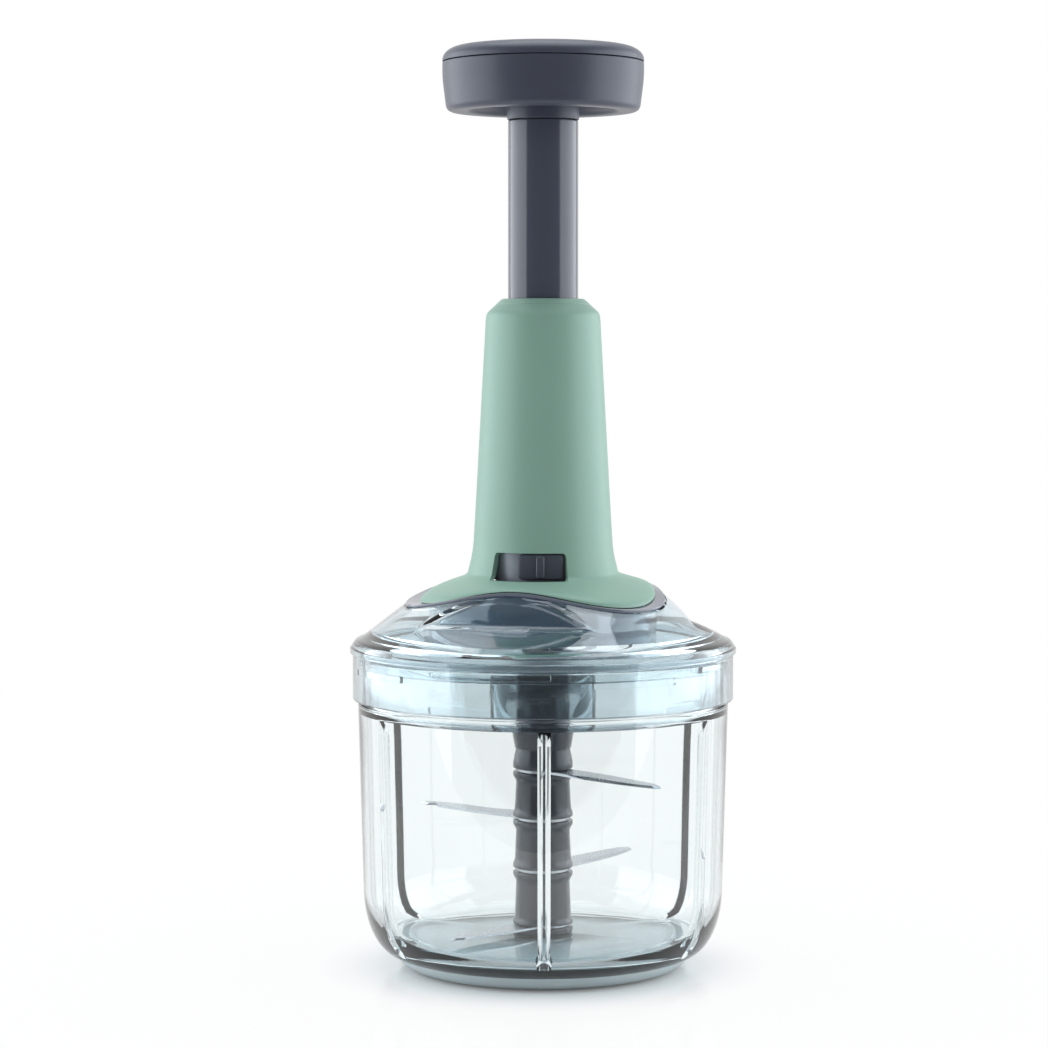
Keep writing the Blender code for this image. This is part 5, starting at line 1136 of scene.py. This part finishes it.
# %% Knob body and cap
KNOB_RADIUS = radius_of("knob_cap") - HAIR
KNOB_Z, KNOB_FOOT_RADIUS = low_of("knob_body") + 2.7 * MM, 31.75 * MM
KNOB_SPLIT_Z = high_of("knob_body")
RECESS_RADIUS, RECESS_DEPTH, COLLAR_OUTER = 23.6 * MM, 3.5 * MM, 11.85 * MM
PLUG_TOP_Z = high_of("tube_plug")
KNOB_FLOOR_Z, KNOB_FLOOR, KNOB_WALL = PLUG_TOP_Z + CLEARANCE, 2.5 * MM, 2.6 * MM
SCREW_RADIUS = 1.5 * MM
body_profile = [
    (COLLAR_OUTER, low_of("knob_body"), EASED), (COLLAR_OUTER, KNOB_Z + RECESS_DEPTH, 0.8 * MM),
    (RECESS_RADIUS, KNOB_Z + RECESS_DEPTH, 1.2 * MM), (RECESS_RADIUS + 0.6 * MM, KNOB_Z, 1.6 * MM),
    (KNOB_FOOT_RADIUS, KNOB_Z, 2.2 * MM), (KNOB_RADIUS, KNOB_SPLIT_Z - 5 * MM, 6 * MM),
    (KNOB_RADIUS, KNOB_SPLIT_Z, 0.35 * MM), (KNOB_RADIUS - KNOB_WALL, KNOB_SPLIT_Z),
    (KNOB_RADIUS - KNOB_WALL, KNOB_FLOOR_Z + KNOB_FLOOR),
    (SCREW_RADIUS + CLEARANCE, KNOB_FLOOR_Z + KNOB_FLOOR),
    (SCREW_RADIUS + CLEARANCE, KNOB_FLOOR_Z), (TUBE_BORE, KNOB_FLOOR_Z),
    (TUBE_BORE, low_of("knob_body"))]
dress("knob_side", turned("knob_side", body_profile, 192), GREY_ABS, "plunger", "grey_plastic",
      "knob_body")

CAP_Z, CAP_HEIGHT, CAP_DOME, CAP_WALL = KNOB_SPLIT_Z + CLEARANCE, 6.2 * MM, 1.3 * MM, 2.2 * MM
CAP_EDGE = (6.5 * MM, 4.4 * MM)
SPIGOT_RADIUS = KNOB_RADIUS - KNOB_WALL - CLEARANCE
edge_radius, edge_height = KNOB_RADIUS - CAP_EDGE[0], KNOB_TOP_Z - CAP_DOME - CAP_EDGE[1]
CAP_EDGE_STEPS, DOME_SHARES = 14, (1.0, 0.85, 0.7, 0.5, 0.35, 0.2, 0.1)
bends = [FULL_TURN / 4 * step / CAP_EDGE_STEPS for step in range(CAP_EDGE_STEPS)]
knob_dome = [(edge_radius + CAP_EDGE[0] * math.cos(bend),
              edge_height + CAP_EDGE[1] * math.sin(bend)) for bend in bends]
knob_dome += [(edge_radius * share, KNOB_TOP_Z - HAIR - CAP_DOME * share ** 2)
              for share in DOME_SHARES]
SPIGOT_BORE, SPIGOT_DEPTH = SPIGOT_RADIUS - 1.4 * MM, 3 * MM
cap_roof = CAP_Z + CAP_HEIGHT - CAP_DOME - CAP_WALL
cap_profile = [(0, cap_roof), (SPIGOT_BORE, cap_roof), (SPIGOT_BORE, CAP_Z - SPIGOT_DEPTH),
               (SPIGOT_RADIUS, CAP_Z - SPIGOT_DEPTH), (SPIGOT_RADIUS, CAP_Z),
               (KNOB_RADIUS, CAP_Z, 0.15 * MM)] + knob_dome + [(0, KNOB_TOP_Z - HAIR)]
dress("knob_top", turned("knob_top", cap_profile, 192), GREY_ABS, "plunger", "grey_plastic",
      "knob_cap")

# %% [markdown]
# The pieces inside the plunger are simple turned fittings: the plug that shuts the tube, the
# guide bush in the handle's top, the seat of the spring, the washers and the stop ring. A list
# of profiles keeps them together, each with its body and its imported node.

# %% Small turned fittings
def plain_ring(inner, outer, node, soft=FINE):
    low, high = span(node)
    return [(inner, low, soft), (outer, low, soft), (outer, high, soft), (inner, high, soft)]


BUSH_OUTER, BUSH_FLANGE_TOP = BUSH_BORE - CLEARANCE, BUSH_SEAT_Z - CLEARANCE
BUSH_FLANGE = BUSH_OUTER + 0.9 * MM
bush_z, bush_top = span("guide_bush")
bush_profile = [(COLUMN_BORE, bush_z), (BUSH_FLANGE, bush_z), (BUSH_FLANGE, BUSH_FLANGE_TOP),
                (BUSH_OUTER, BUSH_FLANGE_TOP), (BUSH_OUTER, bush_top, SOFT),
                (COLUMN_BORE, bush_top, 0.6 * MM)]
PLUG_RADIUS, PLUG_BORE, SCREW_DEPTH = TUBE_BORE - CLEARANCE, SCREW_RADIUS + CLEARANCE, 11 * MM
plug_z = low_of("tube_plug")
plug_profile = [(0, plug_z), (PLUG_RADIUS, plug_z, SOFT), (PLUG_RADIUS, PLUG_TOP_Z, SOFT),
                (PLUG_BORE, PLUG_TOP_Z), (PLUG_BORE, PLUG_TOP_Z - SCREW_DEPTH),
                (0, PLUG_TOP_Z - SCREW_DEPTH)]
STRIP_SOCKET, SOCKET_HEIGHT = 4.1 * MM, 2.4 * MM
SPIGOT, SPIGOT_HEIGHT = 5.5 * MM, 2.0 * MM
seat_z, seat_top = span("spring_seat")
seat_radius = radius_of("spring_seat") - HAIR
seat_profile = [(0, seat_z + SOCKET_HEIGHT), (STRIP_SOCKET, seat_z + SOCKET_HEIGHT),
                (STRIP_SOCKET, seat_z), (seat_radius, seat_z, EASED),
                (seat_radius, seat_top - SPIGOT_HEIGHT, EASED), (SPIGOT, seat_top - SPIGOT_HEIGHT),
                (SPIGOT, seat_top, 0.6 * MM), (0, seat_top)]
CLUTCH_RADIUS, CLUTCH_FLOOR = 8.9 * MM - HAIR, 0.8 * MM
clutch_z, clutch_top = span("clutch_hub")
hub_profile = [(0, clutch_z), (CLUTCH_RADIUS, clutch_z, EASED), (CLUTCH_RADIUS, clutch_top, EASED),
               (STRIP_SOCKET, clutch_top), (STRIP_SOCKET, clutch_z + CLUTCH_FLOOR),
               (0, clutch_z + CLUTCH_FLOOR)]
KNOB_HEAD_RADIUS, KNOB_HEAD_HEIGHT = 3.0 * MM, 1.3 * MM
screw_z, screw_top = span("knob_screw")
knob_screw_profile = [(0, screw_z), (SCREW_RADIUS, screw_z, SOFT),
                      (SCREW_RADIUS, screw_top - KNOB_HEAD_HEIGHT),
                      (KNOB_HEAD_RADIUS, screw_top - KNOB_HEAD_HEIGHT, FINE),
                      (KNOB_HEAD_RADIUS, screw_top, EASED), (0, screw_top)]
FITTINGS = (
    ("bush_moulding", bush_profile, GREY_ABS, "lid", "grey_plastic", "guide_bush"),
    ("plug_moulding", plug_profile, DEEP_ABS, "plunger", "grey_plastic", "tube_plug"),
    ("seat_moulding", seat_profile, DEEP_ABS, "drive", "grey_plastic", "spring_seat"),
    ("hub_moulding", hub_profile, DEEP_ABS, "drive", "dark_plastic", "clutch_hub"),
    ("knob_screw_steel", knob_screw_profile, WIRE_STEEL, "plunger", "steel", "knob_screw"),
    ("stop_rubber", plain_ring(COLUMN_BORE - 2.4 * MM, COLUMN_BORE - CLEARANCE, "stop_ring"),
     PAD_RUBBER, "lid", "soft_pad", "stop_ring"),
    ("thrust_ring", plain_ring(6.7 * MM, 9.0 * MM - HAIR, "thrust_washer", 0.1 * MM),
     GREY_ABS, "lid", "grey_plastic", "thrust_washer"),
    ("retaining_ring", plain_ring(5.7 * MM, 9.0 * MM - HAIR, "retaining_washer", 0.1 * MM),
     WIRE_STEEL, "drive", "steel", "retaining_washer"),
)
for name, profile, material, body, slot, node in FITTINGS:
    dress(name, turned(name, profile, 72), material, body, slot, node)
print("fittings:", len(FITTINGS))

# %% [markdown]
# The spiral shaft is a flat steel strip twisted about the axis, one turn in 40 mm. Pushing the
# nut down over it makes it spin. In Geometry Nodes that is a straight line, resampled, tilted
# by its own height, with a thin rectangle swept along it. The same tree twice, with a little
# play added, gives the strip and the slot in its nut.

# %% A tree that twists a strip
LEAD, STRIP_HALF_WIDTH, STRIP_HALF_THICKNESS = 40 * MM, 3.5 * MM, 1.0 * MM
STRIP_LOW, STRIP_HIGH = span("spiral_shaft")
twist_tree, twist_input = node_tree("twist_strip", {
    "Low": "Float", "High": "Float", "Width": "Float", "Thickness": "Float", "Foot": "Float",
    "One Turn Up": "Float", "First Turn": "Float", "Second Turn": "Float", "Steps": "Int",
    "Material": "Material"})
ends = [add(twist_tree, "ShaderNodeCombineXYZ", {"Z": twist_input[label]})
        for label in ("Low", "High")]
line = add(twist_tree, "GeometryNodeCurvePrimitiveLine", {"Start": ends[0], "End": ends[1]})
dense = add(twist_tree, "GeometryNodeResampleCurve", {"Curve": line,
            "Count": twist_input["Steps"]})
level = add(twist_tree, "ShaderNodeSeparateXYZ", {
    0: add(twist_tree, "GeometryNodeInputPosition")}).outputs["Z"]
twist = add(twist_tree, "ShaderNodeMapRange", {
    "Value": level, "From Min": twist_input["Foot"], "From Max": twist_input["One Turn Up"],
    "To Min": twist_input["First Turn"], "To Max": twist_input["Second Turn"]}, clamp=False)
tilted = add(twist_tree, "GeometryNodeSetCurveTilt", {"Curve": dense,
             "Tilt": twist})
section = add(twist_tree, "GeometryNodeCurvePrimitiveQuadrilateral", {
    "Width": twist_input["Width"], "Height": twist_input["Thickness"]})
swept = add(twist_tree, "GeometryNodeCurveToMesh", {"Curve": tilted, "Profile Curve": section,
            "Fill Caps": True})
close_tree(twist_tree, swept, twist_input["Material"])


def twisted_strip(low, high, play, steps):
    return run_tree(twist_tree, bpy.data.meshes.new("strip"), Low=low, High=high,
                    Width=2 * (STRIP_HALF_WIDTH + play),
                    Thickness=2 * (STRIP_HALF_THICKNESS + play), Foot=STRIP_LOW,
                    One_Turn_Up=STRIP_LOW + LEAD, First_Turn=LID_AZIMUTH,
                    Second_Turn=LID_AZIMUTH + FULL_TURN, Steps=steps, Material=BLADE_STEEL)


strip_mesh = twisted_strip(STRIP_LOW, STRIP_HIGH, -HAIR, 160)
dress("twisted_strip", strip_mesh, BLADE_STEEL, "drive", "steel", "spiral_shaft", sharp=40)
nut_low, nut_high = span("drive_nut")
nut_profile = [(0, nut_low), (TUBE_BORE - CLEARANCE, nut_low, SOFT),
               (TUBE_BORE - CLEARANCE, nut_high, SOFT), (0, nut_high)]
nut_mesh = with_cuts(turned("nut", nut_profile, 72),
                     twisted_strip(nut_low - MM, nut_high + MM, 0.8 * MM, 16))
dress("nut_moulding", nut_mesh, DEEP_ABS, "plunger", "grey_plastic", "drive_nut")

# %% [markdown]
# The return spring is a coil of 1.2 mm wire between the seat and the plug. A Spiral curve node
# gives the helix and a circle is swept along it. It rides with the plunger.

# %% A tree that winds a spring
SPRING_RADIUS, WIRE_RADIUS, COILS = 7.0 * MM, 0.6 * MM, 11.0
SPRING_LOW, SPRING_HIGH = span("return_spring")
coil_tree, coil_input = node_tree("wind_spring", {
    "Radius": "Float", "Wire": "Float", "Coils": "Float", "Low": "Float", "Height": "Float",
    "Material": "Material"})
helix = add(coil_tree, "GeometryNodeCurveSpiral", {
    "Resolution": 40, "Rotations": coil_input["Coils"], "Start Radius": coil_input["Radius"],
    "End Radius": coil_input["Radius"], "Height": coil_input["Height"]})
lift = add(coil_tree, "ShaderNodeCombineXYZ", {"Z": coil_input["Low"]})
raised = add(coil_tree, "GeometryNodeTransform", {"Geometry": helix, "Translation": lift})
wire = add(coil_tree, "GeometryNodeCurvePrimitiveCircle", {"Resolution": 12,
           "Radius": coil_input["Wire"]})
wound = add(coil_tree, "GeometryNodeCurveToMesh", {"Curve": raised,
            "Profile Curve": wire, "Fill Caps": True})
close_tree(coil_tree, wound, coil_input["Material"])
spring_mesh = run_tree(coil_tree, bpy.data.meshes.new("spring"), Radius=SPRING_RADIUS,
                       Wire=WIRE_RADIUS - HAIR, Coils=COILS, Low=SPRING_LOW + WIRE_RADIUS,
                       Height=SPRING_HIGH - SPRING_LOW - 2 * WIRE_RADIUS, Material=WIRE_STEEL)
spring = dress("wire_spring", spring_mesh, WIRE_STEEL, "plunger", "steel", "return_spring")
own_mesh(spring)

# %% [markdown]
# The coupling hangs in the lid's hub. It is a round barrel with a flange that shuts the hub from
# below, a small lip at its foot, and two dogs that reach down into the cup of the blade unit.

# %% Coupling
JOURNAL_TOP_Z, COUPLING_TOP_Z = BASE_Z - 0.1 * MM, high_of("drive_coupling")
BARREL_TOP_Z = WELL_UNDER_Z - 1.4 * MM
FOOT_LIP_Z, FLANGE_Z, FLANGE_HEIGHT = BARREL_TOP_Z - 20.9 * MM, BARREL_TOP_Z - 7.8 * MM, 1.4 * MM
COUPLING_RADIUS, FLANGE_RADIUS, LIP_RADIUS = 8.9 * MM, 12.5 * MM - HAIR, 10.6 * MM
LIP_TOP_Z, FLANGE_TOP_Z = FOOT_LIP_Z + 1.2 * MM, FLANGE_Z + FLANGE_HEIGHT
JOURNAL_RADIUS, NECK_TOP_RADIUS = 6.4 * MM, 5.4 * MM
coupling_profile = [
    (0, FOOT_LIP_Z), (LIP_RADIUS, FOOT_LIP_Z, EASED), (LIP_RADIUS, LIP_TOP_Z, EASED),
    (COUPLING_RADIUS, LIP_TOP_Z, FINE), (COUPLING_RADIUS, FLANGE_Z, EASED),
    (FLANGE_RADIUS, FLANGE_Z, EASED), (FLANGE_RADIUS, FLANGE_TOP_Z, EASED),
    (COUPLING_RADIUS, FLANGE_TOP_Z, FINE), (COUPLING_RADIUS, BARREL_TOP_Z, EASED),
    (JOURNAL_RADIUS, BARREL_TOP_Z), (JOURNAL_RADIUS, JOURNAL_TOP_Z),
    (NECK_TOP_RADIUS, JOURNAL_TOP_Z), (NECK_TOP_RADIUS, COUPLING_TOP_Z), (0, COUPLING_TOP_Z)]
coupling_dogs = dog_blocks((4.5 * MM, CUP_BORE_RADIUS - 0.6 * MM),
                           (low_of("drive_coupling"), FOOT_LIP_Z + 0.6 * MM), LID_AZIMUTH)
coupling_mesh = with_cuts(turned("coupling", coupling_profile, 96), *coupling_dogs,
                          operation="UNION")
dress("coupling_moulding", coupling_mesh, DEEP_ABS, "drive", "dark_plastic", "drive_coupling")

# %% [markdown]
# Three screws hold the handle from inside the lid's well. One screw is turned once, and a tree
# puts a copy on a point, once for each place. Each copy becomes a piece of its own, because the
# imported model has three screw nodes.

# %% Screws on points
SCREW_HEAD_RADIUS, SCREW_HEAD_HEIGHT = 2.6 * MM, 1.3 * MM
screw_low, screw_high = span("handle_screw_1")
screw_profile = [(0, 0), (SCREW_HEAD_RADIUS, 0, EASED), (SCREW_HEAD_RADIUS, SCREW_HEAD_HEIGHT),
                 (SCREW_RADIUS, SCREW_HEAD_HEIGHT), (SCREW_RADIUS, screw_high - screw_low, EASED),
                 (0, screw_high - screw_low)]
copy_tree, copy_input = node_tree("set_on_points", {
    "Geometry": "Geometry", "Place": "Vector", "Material": "Material"})
points = add(copy_tree, "GeometryNodePoints", {"Count": 1, "Position": copy_input["Place"]})
copies = add(copy_tree, "GeometryNodeInstanceOnPoints", {
    "Points": points, "Instance": copy_input["Geometry"]})
close_tree(copy_tree, copies, copy_input["Material"])
for number in (1, 2, 3):
    corner_low, corner_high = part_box(f"handle_screw_{number}")
    middle = (corner_low + corner_high) / 2
    screw_mesh = run_tree(copy_tree, turned("screw", screw_profile, 32),
                          Place=(middle.x, middle.y, screw_low), Material=WIRE_STEEL)
    dress(f"handle_screw_steel_{number}", screw_mesh, WIRE_STEEL, "lid", "steel",
          f"handle_screw_{number}")

# %% [markdown]
# The photograph looks at the chopper from a metre in front, a little above its middle, with a
# long lens. The axis of the chopper stands 6 mm to the right of the middle of the frame.

# %% Camera
CAMERA_X, CAMERA_DISTANCE, CAMERA_HEIGHT = -6.3 * MM, 1.02, 0.2069
CAMERA_PITCH, LENS, SENSOR = math.radians(3.36), 106.0, 36.0
camera_data = bpy.data.cameras.new("camera")
camera_data.lens, camera_data.sensor_width = LENS, SENSOR
camera_data.clip_start, camera_data.clip_end = 0.05, 20.0
camera = bpy.data.objects.new("camera", camera_data)
camera.location = (CAMERA_X, -CAMERA_DISTANCE, CAMERA_HEIGHT)
camera.rotation_euler = (FULL_TURN / 4 - CAMERA_PITCH, 0, 0)
bpy.context.scene.collection.objects.link(camera)
bpy.context.scene.camera = camera

# %% [markdown]
# The light is a white studio with a dark side. A tall soft panel stands on each side and reaches
# from well behind the chopper to a little in front of it, so polished sides turn bright and the
# strip that faces the camera stays dark. A third panel hangs above.

# %% Lamps
PANEL_COLOUR = linear("#f2f9ff")[:3]


def soft_panel(name, place, aim, size, radiance):
    """A rectangular lamp; its power follows from the brightness wanted of its face."""
    data = bpy.data.lights.new(name, "AREA")
    data.shape, data.size, data.size_y = "RECTANGLE", size[0], size[1]
    data.energy, data.color = radiance * math.pi * size[0] * size[1], PANEL_COLOUR
    lamp = bpy.data.objects.new(name, data)
    lamp.location = place
    lamp.rotation_euler = (Vector(aim) - Vector(place)).to_track_quat("-Z", "Y").to_euler()
    lamp.visible_camera = False
    bpy.context.scene.collection.objects.link(lamp)


PANEL_SIZE, PANEL_X, PANEL_Y, PANEL_Z = (1.3, 0.9), 0.8, 0.12, 0.3
for side, name in ((-1, "left_panel"), (1, "right_panel")):
    soft_panel(name, (side * PANEL_X, PANEL_Y, PANEL_Z), (0, PANEL_Y, PANEL_Z), PANEL_SIZE, 2.2)
soft_panel("top_panel", (0, 0.1, 1.1), (0, 0, 0.15), (0.8, 0.8), 2.5)

# %% [markdown]
# The world is white where the camera sees it. Reflections and clear plastic see it fade from
# white behind the chopper to a dark studio behind the camera, and dull surfaces get only a part
# of it, so that the white background doesn't wash out the part.

# %% World
AMBIENT, FRONT = 0.34, 0.12
world = bpy.data.worlds.new("white_studio")
bpy.context.scene.world = world
world.use_nodes = True
sky = world.node_tree
ray = add(sky, "ShaderNodeLightPath").outputs
aim = add(sky, "ShaderNodeSeparateXYZ", {
    0: add(sky, "ShaderNodeTexCoord").outputs["Generated"]}).outputs
strength = AMBIENT
for kind, start, end in (("Is Glossy Ray", -0.5, 0.7), ("Is Transmission Ray", -0.2, 0.8)):
    faded = add(sky, "ShaderNodeMapRange", {"Value": aim["Y"], "From Min": start,
                "From Max": end, "To Min": FRONT}, interpolation_type="SMOOTHSTEP")
    strength = add(sky, "ShaderNodeMix", {"Factor": ray[kind], 2: strength, 3: faded})
strength = add(sky, "ShaderNodeMix", {"Factor": ray["Is Camera Ray"], 2: strength, 3: 1.0})
feed(sky, sky.nodes["Background"], {"Color": (1, 1, 1, 1), "Strength": strength})

# %% [markdown]
# The table is white and faintly glossy, so the foot has a soft shadow and reflection under it.
# Further out it fades into the white of the background, and there is no horizon. It ends just
# in front of the picture, because a longer one would be mirrored in the whole front of the bowl.

# %% Floor
floor_mesh = bpy.data.meshes.new("floor")
FLOOR_FRONT, FLOOR_REACH = 0.3, 3.0
FADES = ((34 * MM, 80 * MM, 0.9), (80 * MM, 280 * MM, 0.1))
floor_mesh.from_pydata([(-FLOOR_REACH, -FLOOR_FRONT, 0), (FLOOR_REACH, -FLOOR_FRONT, 0),
                        (FLOOR_REACH, FLOOR_REACH, 0), (-FLOOR_REACH, FLOOR_REACH, 0)], [],
                       [(0, 1, 2, 3)])
floor_paint, table, floor_shader = new_material("white_laminate", IOR=1.45,
                                                Base_Color=linear("#eceeef"))
laminate = add(table, "ShaderNodeMapRange", {"Value": grain(table, 60 * MM, Detail=2.0),
               "To Min": 0.1, "To Max": 0.18, **NOISE_RANGE})
feed(table, floor_shader, {"Roughness": laminate})
away = add(table, "ShaderNodeVectorMath", {
    0: add(table, "ShaderNodeTexCoord").outputs["Object"]}, operation="LENGTH").outputs["Value"]
fade = 0.0
for start, end, share in FADES:
    step = add(table, "ShaderNodeMapRange", {"Value": away, "From Min": start, "From Max": end,
               "To Max": share}, interpolation_type="SMOOTHSTEP")
    fade = add(table, "ShaderNodeMath", {0: step, 1: fade})
ray = add(table, "ShaderNodeLightPath").outputs
seen = 0.0
for kind in ("Is Glossy Ray", "Is Transmission Ray", "Is Camera Ray"):
    seen = add(table, "ShaderNodeMix", {"Factor": ray[kind], 2: seen, 3: fade})
white = add(table, "ShaderNodeEmission", {"Color": (1, 1, 1, 1), "Strength": 1.0})
covered = add(table, "ShaderNodeMixShader", {0: seen, 1: floor_shader, 2: white})
feed(table, table.nodes["Material Output"], {"Surface": covered})
floor_mesh.materials.append(floor_paint)
floor = bpy.data.objects.new("floor", floor_mesh)
bpy.context.scene.collection.objects.link(floor)

# %% [markdown]
# Last comes the view transform, which leaves colours as they were written.

# %% The view transform
bpy.context.scene.view_settings.view_transform = "Standard"
